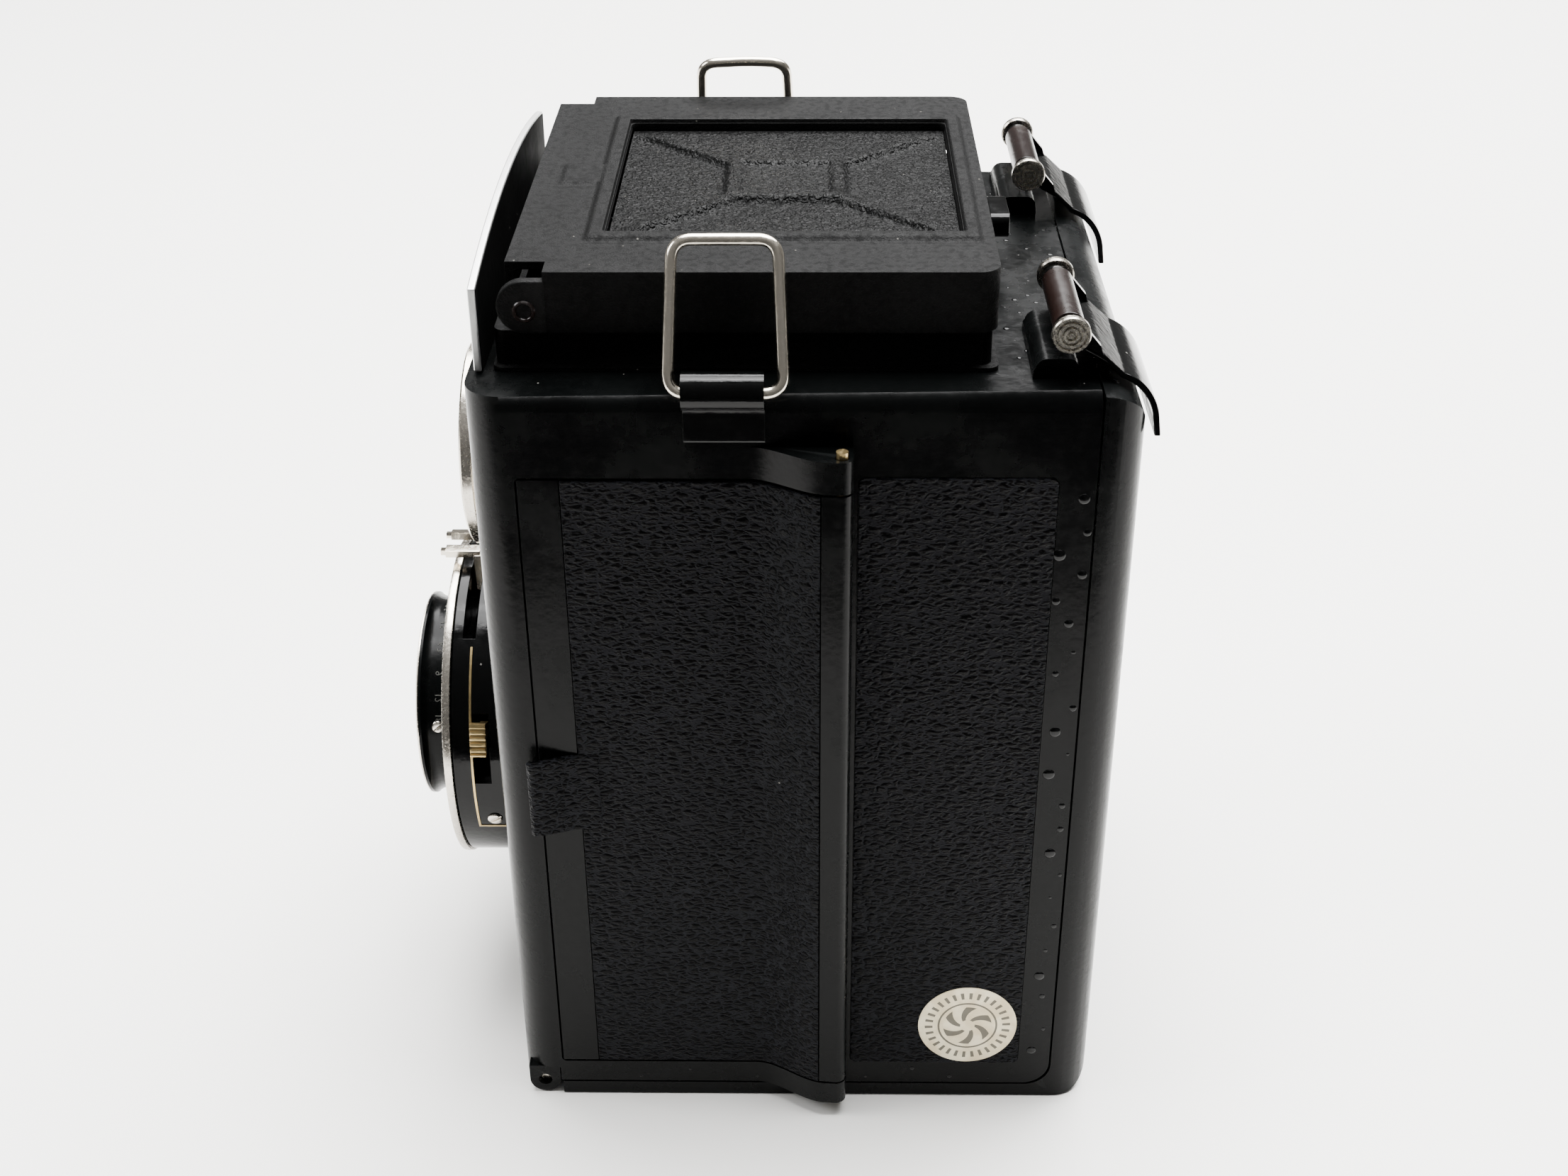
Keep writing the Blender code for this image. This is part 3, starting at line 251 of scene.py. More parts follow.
def solid(name, bm, adds=(), cuts=(), edge=0.0, segments=3, angle=32.0):
    """Bake a shape with its unions, cuts and rounded edges into one plain mesh object."""
    item = raw_object(name, bm)
    tools = []
    for operation, shapes in (("UNION", adds), ("DIFFERENCE", cuts)):
        for shape in shapes:
            tool = raw_object(f"{name}_tool", shape)
            tools.append(tool)
            step = item.modifiers.new(operation.lower(), "BOOLEAN")
            step.operation = operation
            step.solver = "EXACT"
            step.object = tool
    if edge:
        step = item.modifiers.new("edges", "BEVEL")
        step.width = edge * MM
        step.segments = segments
        step.limit_method = "ANGLE"
        step.angle_limit = radians(angle)
        step.harden_normals = False
        step.miter_outer = "MITER_ARC"
    baked(item)
    for tool in tools:
        bpy.data.objects.remove(tool)
    smooth(item, angle)
    return item


def smooth(item, angle=32.0):
    item.data.shade_smooth()
    item.data.set_sharp_from_angle(angle=radians(angle))
    step = item.modifiers.new("normals", "WEIGHTED_NORMAL")
    step.keep_sharp = True
    step.weight = 60
    baked(item)


def finish_piece(item, finish, body, nodes=()):
    """Give a piece its material and body, and hide the CAD nodes it replaces."""
    item.data.materials.clear()
    item.data.materials.append(finish)
    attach(item, body)
    if nodes:
        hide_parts(*nodes)
    return item


# ---------------------------------------------------------------- shader groups

def new_group(name, inputs, outputs):
    """A shader node group with float or vector inputs and named outputs."""
    tree = bpy.data.node_groups.new(name, "ShaderNodeTree")
    for label, kind, value in inputs:
        socket = tree.interface.new_socket(label, in_out="INPUT", socket_type=kind)
        if value is not None:
            socket.default_value = value
    for label, kind in outputs:
        tree.interface.new_socket(label, in_out="OUTPUT", socket_type=kind)
    start = tree.nodes.new("NodeGroupInput")
    end = tree.nodes.new("NodeGroupOutput")
    return tree, start, end


def node(tree, kind, links=None, **settings):
    """Add a node, set its properties and inputs, and link its inputs from other sockets."""
    made = tree.nodes.new(kind)
    for key, value in settings.items():
        if hasattr(made, key):
            setattr(made, key, value)
        else:
            made.inputs[key.replace("_", " ")].default_value = value
    for key, source in (links or {}).items():
        tree.links.new(source, made.inputs[key])
    return made


def math(tree, operation, a, b=None, clamp=False):
    """A Math node; a and b are sockets or numbers."""
    made = tree.nodes.new("ShaderNodeMath")
    made.operation = operation
    made.use_clamp = clamp
    for index, value in enumerate((a, b)):
        if value is None:
            continue
        if isinstance(value, (int, float)):
            made.inputs[index].default_value = value
        else:
            tree.links.new(value, made.inputs[index])
    return made.outputs[0]


def between(tree, value, low, high):
    """One where a value lies between two levels, otherwise zero."""
    above = math(tree, "GREATER_THAN", value, low)
    return math(tree, "MULTIPLY", above, math(tree, "LESS_THAN", value, high))


def ramp(tree, value, low, high, from_low=0.0, from_high=1.0):
    """Map a value from one range to another, with a smooth step between."""
    made = tree.nodes.new("ShaderNodeMapRange")
    made.interpolation_type = "SMOOTHSTEP"
    tree.links.new(value, made.inputs["Value"])
    made.inputs["From Min"].default_value = from_low
    made.inputs["From Max"].default_value = from_high
    made.inputs["To Min"].default_value = low
    made.inputs["To Max"].default_value = high
    return made.outputs["Result"]


def mix_colour(tree, factor, first, second):
    """Mix two colours, each a socket or an RGB triple, by a factor socket."""
    made = tree.nodes.new("ShaderNodeMix")
    made.data_type = "RGBA"
    tree.links.new(factor, made.inputs[0])
    for index, value in ((6, first), (7, second)):
        if isinstance(value, tuple):
            made.inputs[index].default_value = (*value, 1.0)
        else:
            tree.links.new(value, made.inputs[index])
    return made.outputs[2]


def grain_group():
    """Wrinkled leather grain: short cells drawn out along one direction, with creases between."""
    tree, start, end = new_group(
        "wrinkled_grain",
        [("Vector", "NodeSocketVector", None), ("Cell", "NodeSocketFloat", 1.0)],
        [("Height", "NodeSocketFloat"), ("Crease", "NodeSocketFloat")],
    )
    size = math(tree, "DIVIDE", 1000.0, start.outputs["Cell"])
    scaled = node(tree, "ShaderNodeVectorMath", operation="SCALE")
    tree.links.new(start.outputs["Vector"], scaled.inputs[0])
    tree.links.new(size, scaled.inputs["Scale"])
    warp = node(tree, "ShaderNodeTexNoise", {"Vector": scaled.outputs[0]}, Scale=1.1, Detail=2.0)
    centred = node(tree, "ShaderNodeVectorMath", {0: warp.outputs["Color"]}, operation="SUBTRACT")
    centred.inputs[1].default_value = (0.5, 0.5, 0.5)
    pushed = node(tree, "ShaderNodeVectorMath", {0: centred.outputs[0]}, operation="SCALE")
    pushed.inputs["Scale"].default_value = 1.25
    bent = node(
        tree, "ShaderNodeVectorMath", {0: scaled.outputs[0], 1: pushed.outputs[0]}, operation="ADD"
    )
    cells = node(tree, "ShaderNodeTexVoronoi", {"Vector": bent.outputs[0]}, feature="F1", Scale=1.0)
    edges = node(
        tree, "ShaderNodeTexVoronoi", {"Vector": bent.outputs[0]}, feature="DISTANCE_TO_EDGE", Scale=1.0
    )
    crease = ramp(tree, edges.outputs["Distance"], 0.0, 1.0, 0.0, 0.28)
    dome = ramp(tree, cells.outputs["Distance"], 1.0, 0.35, 0.0, 0.9)
    fine = node(tree, "ShaderNodeTexNoise", {"Vector": bent.outputs[0]}, Scale=3.2, Detail=3.0)
    shape = math(tree, "MULTIPLY", crease, dome)
    height = math(tree, "ADD", shape, math(tree, "MULTIPLY", fine.outputs["Fac"], 0.3))
    tree.links.new(height, end.inputs["Height"])
    tree.links.new(crease, end.inputs["Crease"])
    return tree


def smudge_group():
    """Broad handling marks and fine hazing on a smooth surface."""
    tree, start, end = new_group(
        "handling_marks",
        [("Vector", "NodeSocketVector", None), ("Size", "NodeSocketFloat", 12.0)],
        [("Broad", "NodeSocketFloat"), ("Fine", "NodeSocketFloat"), ("Peel", "NodeSocketFloat")],
    )
    size = math(tree, "DIVIDE", 1000.0, start.outputs["Size"])
    scaled = node(tree, "ShaderNodeVectorMath", operation="SCALE")
    tree.links.new(start.outputs["Vector"], scaled.inputs[0])
    tree.links.new(size, scaled.inputs["Scale"])
    broad = node(tree, "ShaderNodeTexNoise", {"Vector": scaled.outputs[0]}, Scale=1.0, Detail=4.0)
    fine = node(tree, "ShaderNodeTexNoise", {"Vector": scaled.outputs[0]}, Scale=9.0, Detail=5.0)
    peel = node(tree, "ShaderNodeTexNoise", {"Vector": scaled.outputs[0]}, Scale=14.0, Detail=2.0)
    tree.links.new(ramp(tree, broad.outputs["Fac"], 0.0, 1.0, 0.36, 0.66), end.inputs["Broad"])
    tree.links.new(ramp(tree, fine.outputs["Fac"], 0.0, 1.0, 0.4, 0.7), end.inputs["Fine"])
    tree.links.new(peel.outputs["Fac"], end.inputs["Peel"])
    return tree


def speck_group():
    """Tiny scattered dots, as of dust or pitting."""
    tree, start, end = new_group(
        "dust_specks",
        [
            ("Vector", "NodeSocketVector", None),
            ("Spacing", "NodeSocketFloat", 1.5),
            ("Share", "NodeSocketFloat", 0.2),
            ("Radius", "NodeSocketFloat", 0.12),
        ],
        [("Mask", "NodeSocketFloat")],
    )
    size = math(tree, "DIVIDE", 1000.0, start.outputs["Spacing"])
    scaled = node(tree, "ShaderNodeVectorMath", operation="SCALE")
    tree.links.new(start.outputs["Vector"], scaled.inputs[0])
    tree.links.new(size, scaled.inputs["Scale"])
    dots = node(tree, "ShaderNodeTexVoronoi", {"Vector": scaled.outputs[0]}, feature="F1", Scale=1.0)
    split = node(tree, "ShaderNodeSeparateColor", {"Color": dots.outputs["Color"]})
    chosen = math(tree, "LESS_THAN", split.outputs[0], start.outputs["Share"])
    radius = math(tree, "MULTIPLY", split.outputs[1], start.outputs["Radius"])
    inside = math(tree, "LESS_THAN", dots.outputs["Distance"], radius)
    tree.links.new(math(tree, "MULTIPLY", chosen, inside), end.inputs["Mask"])
    return tree


def wear_group():
    """Mask of rubbed outer edges, broken up by noise."""
    tree, start, end = new_group(
        "rubbed_edges",
        [("Vector", "NodeSocketVector", None), ("Low", "NodeSocketFloat", 0.54),
         ("High", "NodeSocketFloat", 0.62)],
        [("Mask", "NodeSocketFloat")],
    )
    geometry = tree.nodes.new("ShaderNodeNewGeometry")
    noise_node = node(tree, "ShaderNodeTexNoise", Scale=900.0, Detail=4.0)
    tree.links.new(start.outputs["Vector"], noise_node.inputs["Vector"])
    wobble = math(tree, "MULTIPLY", math(tree, "SUBTRACT", noise_node.outputs["Fac"], 0.5), 0.12)
    edge_value = math(tree, "ADD", geometry.outputs["Pointiness"], wobble)
    made = tree.nodes.new("ShaderNodeMapRange")
    tree.links.new(edge_value, made.inputs["Value"])
    tree.links.new(start.outputs["Low"], made.inputs["From Min"])
    tree.links.new(start.outputs["High"], made.inputs["From Max"])
    tree.links.new(made.outputs["Result"], end.inputs["Mask"])
    return tree


GRAIN = grain_group()
SMUDGE = smudge_group()
SPECKS = speck_group()
WEAR = wear_group()


def use_group(tree, group, vector, **values):
    made = tree.nodes.new("ShaderNodeGroup")
    made.node_tree = group
    tree.links.new(vector, made.inputs["Vector"])
    for key, value in values.items():
        made.inputs[key].default_value = value
    return made


def new_material(name):
    """A material with its shader and Object coordinates ready."""
    made = bpy.data.materials.new(name)
    made.use_nodes = True
    tree = made.node_tree
    shader = tree.nodes["Principled BSDF"]
    coords = tree.nodes.new("ShaderNodeTexCoord")
    return made, tree, shader, coords.outputs["Object"]


def set_bump(tree, shader, height, strength, distance):
    bump = tree.nodes.new("ShaderNodeBump")
    bump.inputs["Strength"].default_value = strength
    bump.inputs["Distance"].default_value = distance * MM
    tree.links.new(height, bump.inputs["Height"])
    tree.links.new(bump.outputs["Normal"], shader.inputs["Normal"])
    return bump


def enamel(name, colour, rough_low, rough_high, coat=0.0, peel=0.06, dust=0.15, shine=0.085):
    """Black stoving enamel: slightly uneven, with handling marks, dust and rubbed edges."""
    made, tree, shader, where = new_material(name)
    marks = use_group(tree, SMUDGE, where, Size=14.0)
    specks = use_group(tree, SPECKS, where, Spacing=2.6, Share=dust, Radius=0.07)
    wear = use_group(tree, WEAR, where, Low=0.56, High=0.7)
    worn = tuple(c * 3.2 + 0.004 for c in colour)
    base = mix_colour(tree, marks.outputs["Broad"], colour, tuple(c * 1.5 for c in colour))
    base = mix_colour(tree, math(tree, "MULTIPLY", wear.outputs["Mask"], 0.5, True), base, worn)
    base = mix_colour(tree, specks.outputs["Mask"], base, (0.16, 0.155, 0.145))
    tree.links.new(base, shader.inputs["Base Color"])
    rough = math(tree, "ADD", ramp(tree, marks.outputs["Broad"], rough_low, rough_high),
                 math(tree, "MULTIPLY", marks.outputs["Fine"], 0.06))
    tree.links.new(rough, shader.inputs["Roughness"])
    shader.inputs["Specular IOR Level"].default_value = shine
    shader.inputs["Coat Weight"].default_value = coat
    shader.inputs["Coat Roughness"].default_value = 0.08
    set_bump(tree, shader, marks.outputs["Peel"], 0.5, peel)
    return made


def leather(name, long_axis, cell=0.85, rough=0.3):
    """Thin black covering with fine wrinkles drawn out along one axis of the camera, and a painted highlight
    along the edges of its grain cells.
    """
    made, tree, shader, where = new_material(name)
    mapping = node(tree, "ShaderNodeMapping", {"Vector": where})
    mapping.inputs["Scale"].default_value = [0.52 if axis == long_axis else 1.0 for axis in "XYZ"]
    grain = use_group(tree, GRAIN, mapping.outputs[0], Cell=cell)
    marks = use_group(tree, SMUDGE, where, Size=16.0)
    specks = use_group(tree, SPECKS, where, Spacing=3.2, Share=0.12, Radius=0.05)
    # Painted highlight: the base is lighter blue-grey in a band along the grain cell edges, on the pebble
    # rims, and near-black on the cell tops.
    line = ramp(tree, grain.outputs["Crease"], 1.0, 0.0, 0.0, 0.5)
    base = mix_colour(tree, line, (0.0002, 0.0002, 0.0003), (0.0075, 0.008, 0.0098))
    haze = math(tree, "MULTIPLY", marks.outputs["Broad"], 0.3)
    base = mix_colour(tree, haze, base, (0.0022, 0.0024, 0.003))
    base = mix_colour(tree, specks.outputs["Mask"], base, (0.2, 0.19, 0.17))
    tree.links.new(base, shader.inputs["Base Color"])
    tone = math(tree, "ADD", ramp(tree, grain.outputs["Crease"], rough + 0.2, rough),
                math(tree, "MULTIPLY", marks.outputs["Fine"], 0.08))
    tree.links.new(tone, shader.inputs["Roughness"])
    shader.inputs["Specular IOR Level"].default_value = 0.05
    set_bump(tree, shader, grain.outputs["Height"], 1.0, 0.24)
    return made


def crackle(name, colour=(0.0018, 0.0018, 0.0018), grain_size=0.42, depth=0.05, dust=0.25, rough=0.62):
    """Matt crackle paint on the hood, with scattered dust specks."""
    made, tree, shader, where = new_material(name)
    grain = use_group(tree, GRAIN, where, Cell=grain_size)
    marks = use_group(tree, SMUDGE, where, Size=9.0)
    specks = use_group(tree, SPECKS, where, Spacing=1.7, Share=dust, Radius=0.085)
    wear = use_group(tree, WEAR, where, Low=0.53, High=0.62)
    base = mix_colour(tree, marks.outputs["Broad"], colour, tuple(c * 1.7 for c in colour))
    worn = math(tree, "MULTIPLY", wear.outputs["Mask"], 0.35, True)
    base = mix_colour(tree, worn, base, (0.012, 0.012, 0.012))
    base = mix_colour(tree, specks.outputs["Mask"], base, (0.1, 0.096, 0.085))
    shader.inputs["Specular IOR Level"].default_value = 0.06
    tree.links.new(base, shader.inputs["Base Color"])
    tree.links.new(ramp(tree, marks.outputs["Fine"], rough - 0.08, rough + 0.1), shader.inputs["Roughness"])
    set_bump(tree, shader, grain.outputs["Height"], 0.8, depth)
    return made


def nickel(name, colour=(0.68, 0.63, 0.55), rough=0.2, tarnish=0.5):
    """Old nickel plating: warm, softly hazed, with small dark spots."""
    made, tree, shader, where = new_material(name)
    marks = use_group(tree, SMUDGE, where, Size=4.0)
    specks = use_group(tree, SPECKS, where, Spacing=0.8, Share=0.12, Radius=0.22)
    dull = tuple(c * 0.7 for c in colour)
    base = mix_colour(tree, math(tree, "MULTIPLY", marks.outputs["Broad"], tarnish), colour, dull)
    base = mix_colour(tree, math(tree, "MULTIPLY", specks.outputs["Mask"], tarnish), base, (0.09, 0.07, 0.05))
    tree.links.new(base, shader.inputs["Base Color"])
    shader.inputs["Metallic"].default_value = 1.0
    tree.links.new(ramp(tree, marks.outputs["Fine"], rough, rough + 0.1), shader.inputs["Roughness"])
    set_bump(tree, shader, marks.outputs["Peel"], 0.2, 0.008)
    return made


def clear_glass(name, tint=(0.95, 0.97, 1.0), rough=0.0):
    made, tree, shader, where = new_material(name)
    shader.inputs["Base Color"].default_value = (*tint, 1.0)
    marks = use_group(tree, SMUDGE, where, Size=10.0)
    tree.links.new(ramp(tree, marks.outputs["Broad"], rough, rough + 0.03), shader.inputs["Roughness"])
    shader.inputs["Transmission Weight"].default_value = 1.0
    shader.inputs["IOR"].default_value = 1.52
    return made


def mirror_silver(name):
    made, tree, shader, where = new_material(name)
    shader.inputs["Base Color"].default_value = (0.82, 0.83, 0.83, 1.0)
    shader.inputs["Metallic"].default_value = 1.0
    marks = use_group(tree, SMUDGE, where, Size=15.0)
    tree.links.new(ramp(tree, marks.outputs["Broad"], 0.02, 0.12), shader.inputs["Roughness"])
    return made


GLOSS = enamel("gloss_black_enamel", (0.0005, 0.0006, 0.0006), 0.08, 0.15, peel=0.05, shine=0.16)
SATIN = enamel("satin_black_enamel", (0.001, 0.0012, 0.0012), 0.18, 0.28, peel=0.05)
DULL = enamel("dull_black_sheet", (0.002, 0.002, 0.002), 0.42, 0.55, peel=0.04, dust=0.3, shine=0.06)
SOOT = enamel("flat_black", (0.0006, 0.0006, 0.0006), 0.6, 0.7, peel=0.02, dust=0.1, shine=0.02)
LEATHER = leather("side_leather", "Y")
BACK_LEATHER = leather("back_leather", "X")
CRACKLE = crackle("hood_crackle")
COARSE = crackle("panel_crackle", (0.0014, 0.0014, 0.0014), 0.85, 0.28, 0.4, 0.42)
NICKEL = nickel("worn_nickel")
BRIGHT = nickel("bright_nickel", (0.72, 0.66, 0.56), 0.16, 0.1)
CAP = nickel("cap_nickel", (0.42, 0.39, 0.34), 0.24, 0.0)
ALUMINIUM = nickel("dull_aluminium", (0.83, 0.83, 0.82), 0.42, 0.12)
BRASS = nickel("old_brass", (0.56, 0.42, 0.2), 0.3, 0.6)
BROWN = enamel("roller_brown_black", (0.005, 0.0022, 0.0017), 0.2, 0.3, peel=0.03, shine=0.3)
GLASS = clear_glass("lens_glass")
GROUND = clear_glass("ground_glass", (0.9, 0.93, 0.92), 0.45)
SILVER = mirror_silver("mirror_silver")
SPOOL = enamel("spool_paint", (0.03, 0.03, 0.03), 0.3, 0.4, peel=0.03)


# ---------------------------------------------------------------- casing

def make_casing():
    """One pressed shell: front, sides and top, with openings for the two spool doors."""
    corner = 5.0
    top_round = 2.3
    rear = BACK_PLANE_Y - 0.3
    outline = rounded(-HALF, SKIN_FRONT_Y, HALF, rear, (corner, corner, 0.0, 0.0), 10)
    bm = prism(outline, 2.6, DECK_TOP)
    rim = [e for e in bm.edges if min(v.co.z for v in e.verts) > DECK_TOP - 0.01]
    rim = [e for e in rim if min(v.co.y for v in e.verts) < rear - 0.01]
    bmesh.ops.bevel(bm, geom=rim, offset=top_round, segments=8, profile=0.5, affect="EDGES")
    adds = []
    cuts = []
    window = rounded(-28.0, GLASS_Y - 28.0, 28.0, GLASS_Y + 28.0, 2.0)
    cuts.append(prism(rounded(-HALF + WALL, FRONT_Y + WALL, HALF - WALL, 60.0, 2.0), -5.0, DECK_TOP - 2.6))
    cuts.append(prism(window, DECK_TOP - 5.0, DECK_TOP + 5.0))
    cuts.append(rod(24.3, -50.0, -36.0, (0.0, TAKING_Z), "Y", 72))
    cuts.append(rod(15.3, -50.0, -36.0, (0.0, VIEWING_Z), "Y", 64))
    cuts.append(prism(rounded(-60.0, -60.0, 60.0, DOOR_FRONT_Y - 0.3, 0.0), -5.0, 5.2))
    heel = [(rear - 4.0, 2.0), (rear + 2.0, 2.0), (rear + 2.0, 6.6)]
    heel += circle((rear - 4.0, 6.6), 4.0, 10, 0, -90)
    cuts.append(prism(heel, -60.0, 60.0, "X"))
    for side in (1, -1):
        cap = [(HALF - 1.0, FLARE_START_Y)] + flare_line(FLARE_START_Y, FLARE_END_Y)
        cap += circle((HINGE.x, HINGE.y), HINGE_R, 10, 0, 90) + [(HALF - 1.0, HINGE.y + HINGE_R)]
        hole = [circle((side * HINGE.x, HINGE.y), 0.95, 20)]
        adds.append(soft_prism(sided(cap, side), OPENING_HEAD_Z, CAP_HEAD_Z, "Z", hole, 0.5))
        adds.append(soft_prism(sided(cap, side), 2.6, OPENING_FOOT_Z, "Z", hole, 0.0, 0.3))
        opening = rounded(DOOR_FRONT_Y, OPENING_FOOT_Z, 3.0, OPENING_HEAD_Z, (0.8, 0.0, 0.0, 0.8))
        cuts.append(prism(opening, *span(side, HALF - 4.0, HALF + 0.4), "X"))
        pocket = rounded(6.4, 6.8, 32.4, 108.6, 1.0)
        cuts.append(prism(pocket, *span(side, HALF - 0.5, HALF + 2.0), "X"))
        low, high = span(side, 22.0, 38.0)
        catch = [(28.6, DECK_TOP - 1.0), (28.8, 121.2)] + circle((30.6, 121.2), 1.6, 8, 170, -80)
        catch += circle((33.2, 121.4), 1.4, 8, 90, -70) + [(34.8, DECK_TOP - 1.0)]
        adds.append(prism(catch, low, high, "X"))
        if side < 0:
            for joint in ("advance_lever_turn", "counter_dial_spin"):
                spot = pivot_mm(joint)
                cuts.append(rod(2.8, -HALF - 2.0, -HALF + 4.0, (spot.y, spot.z), "X"))
    item = solid("casing_shell", bm, adds, cuts, angle=28.0)
    nodes = ("front_wall", "top_plate", "side_wall_left", "side_wall_right")
    finish_piece(item, SATIN, "camera_body", nodes)
    skirt = rounded(-HALF, SKIN_FRONT_Y, HALF, -20.0, (corner, corner, 0.0, 0.0), 10)
    lugs = []
    for side in (1, -1):
        lug = circle((BACK_HINGE.y, BACK_HINGE.z), 2.4, 20, 180, 180)
        lug += [(BACK_HINGE.y + 2.4, 5.19), (BACK_HINGE.y - 2.4, 5.19)]
        hole = [circle((BACK_HINGE.y, BACK_HINGE.z), 1.05, 20)]
        lugs.append(prism(lug, *span(side, 34.4, HALF - 0.3), "X", hole))
    clear = [prism(rounded(-60.0, -41.9, 60.0, 0.0, 0.0), -5.0, 9.0)]
    item = solid("front_foot", soft_prism(skirt, 0.35, 5.19, "Z", (), 0.0, 1.3, 6), (), clear, angle=28.0)
    finish_piece(item, SATIN, "camera_body", ())
    for lug, suffix in zip(lugs, ("left", "right")):
        item = solid(f"hinge_lug_{suffix}", lug, edge=0.2, segments=2)
        finish_piece(item, SATIN, "camera_body", ())
    return item


def make_side_leather(side, suffix):
    holes = []
    if side < 0:
        for joint in ("advance_lever_turn", "counter_dial_spin"):
            spot = pivot_mm(joint)
            holes.append(circle((spot.y, spot.z), 3.2, 32))
    bm = prism(rounded(6.5, 6.9, 32.3, 108.5, 0.9), *span(side, HALF - 0.3, HALF + 0.22), "X", holes)
    item = solid(f"rear_leather_{suffix}", bm, edge=0.14, segments=2)
    return finish_piece(item, LEATHER, "camera_body", (f"side_leather_{suffix}",))


# ---------------------------------------------------------------- spool doors

def make_spool_door(side, suffix):
    body = f"spool_door_{suffix}"
    front = DOOR_FRONT_Y + 0.28
    strip_y = -32.4
    outline = [(HALF, front), (HALF, strip_y), (HALF - 0.5, strip_y)]
    outline += flare_line(FLARE_START_Y, 1.7, -0.5) + [(flare(1.7), 1.7), (flare(FLARE_END_Y), FLARE_END_Y)]
    outline += circle((HINGE.x, HINGE.y), HINGE_R, 18, 0, 230)
    outline += flare_line(2.0, FLARE_START_Y, -1.9) + [(HALF - 1.9, front)]
    hole = [circle((side * HINGE.x, HINGE.y), 0.92, 20)]
    bm = prism(sided(outline, side), DOOR_LOW.z + 0.02, DOOR_HIGH.z - 0.02, "Z", hole)
    item = solid(f"door_shell_{suffix}", bm, edge=0.2, segments=2, angle=40.0)
    finish_piece(item, SATIN, body, (f"spool_door_{suffix}",))
    cover = [(HALF + 0.22, strip_y + 0.15)] + flare_line(FLARE_START_Y, 1.55, 0.22, 40)
    cover += flare_line(1.55, FLARE_START_Y, -0.3, 40) + [(HALF - 0.3, strip_y + 0.15)]
    leather_bm = prism(sided(cover, side), DOOR_LOW.z + 0.15, DOOR_HIGH.z - 0.15)
    panel = solid(f"door_cover_{suffix}", leather_bm, edge=0.14, segments=2, angle=50.0)
    finish_piece(panel, LEATHER, body, (f"door_leather_{suffix}",))
    make_pull_tab(side, suffix, body)
    return item


def make_pull_tab(side, suffix, body):
    """Leather-covered tab folded from the door's front edge, its lip standing off the casing."""
    foot, head = 51.9, 64.7
    root_y, lip_y = -29.4, -39.5
    steps = 16
    rows = 18
    bm = bmesh.new()
    grid = []
    for j in range(rows + 1):
        v = j / rows
        z = foot + (head - foot) * v
        line = []
        for i in range(steps + 1):
            u = i / steps
            taper = 0.9 * smooth_step((0.2 - v) / 0.2) * (1 - u)
            y = root_y + (lip_y - root_y) * u - taper * 0.6
            lift = 0.35 + 2.0 * smooth_step((u - 0.15) / 0.85)
            lift += 0.25 * smooth_step((v - 0.75) / 0.25) * u
            x = HALF + lift - 0.5 * smooth_step((u - 0.93) / 0.07)
            line.append(bm.verts.new((side * x, y, z)))
        grid.append(line)
    for low_row, high_row in zip(grid, grid[1:]):
        for i in range(steps):
            bm.faces.new((low_row[i], low_row[i + 1], high_row[i + 1], high_row[i]))
    item = raw_object(f"pull_tab_{suffix}", bm)
    outward = sum(face.normal.x for face in item.data.polygons) * side
    thick = item.modifiers.new("thickness", "SOLIDIFY")
    thick.thickness = 0.9 * MM
    thick.offset = -1.0 if outward > 0 else 1.0
    soften = item.modifiers.new("edges", "BEVEL")
    soften.width = 0.35 * MM
    soften.segments = 3
    soften.limit_method = "ANGLE"
    soften.angle_limit = radians(50)
    baked(item)
    smooth(item, 60.0)
    return finish_piece(item, LEATHER, body, ())


# ---------------------------------------------------------------- back door

def make_back_door():
    rear = 43.5
    outline = [(-38.2, 0.0)] + circle((rear - 4.0, 4.0), 4.0, 12, -90, 90)
    outline += circle((BACK_PLANE_Y, DECK_TOP - 6.0), 6.0, 14, 0, 90)
    outline += [(BACK_PLANE_Y, 6.6)] + circle((BACK_PLANE_Y - 4.0, 6.3), 4.0, 12, 0, -90) + [(-38.2, 2.3)]
    bm = prism(outline, -HALF, HALF, "X")
    plan = rounded(-HALF, -60.0, HALF, rear, (0.0, 0.0, 5.5, 5.5), 12)
    outer = raw_object("door_plan", prism(plan, -5.0, DECK_TOP + 5.0))
    item = raw_object("back_shell", bm)
    step = item.modifiers.new("plan", "BOOLEAN")
    step.operation = "INTERSECT"
    step.object = outer
    baked(item)
    bpy.data.objects.remove(outer)
    barrel = circle((BACK_HINGE.y, BACK_HINGE.z), 2.4, 24, 90, 180)
    barrel += [(-36.5, 0.0), (-36.5, 2.3), (BACK_HINGE.y + 2.0, 3.7)]
    bush_low, bush_high = box_mm("tripod_bush")
    bush = ((bush_low.x + bush_high.x) / 2, (bush_low.y + bush_high.y) / 2)
    adds = [prism(barrel, -34.0, 34.0, "X")]
    cuts = [
        prism(rounded(-40.5, 9.0, 40.5, 110.0, 2.0), BACK_PLANE_Y - 3.0, rear - 2.2, "Y"),
        prism(rounded(-36.5, 8.5, 36.5, 108.0, 1.0), rear - 0.5, rear + 3.0, "Y"),
        rod(8.3, -3.0, 5.0, bush, "Z", 64),
        rod(1.05, -40.0, 40.0, (BACK_HINGE.y, BACK_HINGE.z), "X", 24),
    ]
    base = bmesh.new()
    base.from_mesh(item.data)
    bpy.data.objects.remove(item)
    bmesh.ops.scale(base, vec=(TO_MM, TO_MM, TO_MM), verts=base.verts)
    item = solid("back_shell", base, adds, cuts, edge=0.3)
    finish_piece(item, SATIN, "back_door", ("back_door",))
    bm = prism(rounded(-36.3, 8.7, 36.3, 107.8, 0.9), rear - 0.3, rear + 0.2, "Y")
    panel = solid("back_cover", bm, edge=0.14, segments=2)
    return finish_piece(panel, BACK_LEATHER, "back_door", ("back_leather",))


# ---------------------------------------------------------------- latches

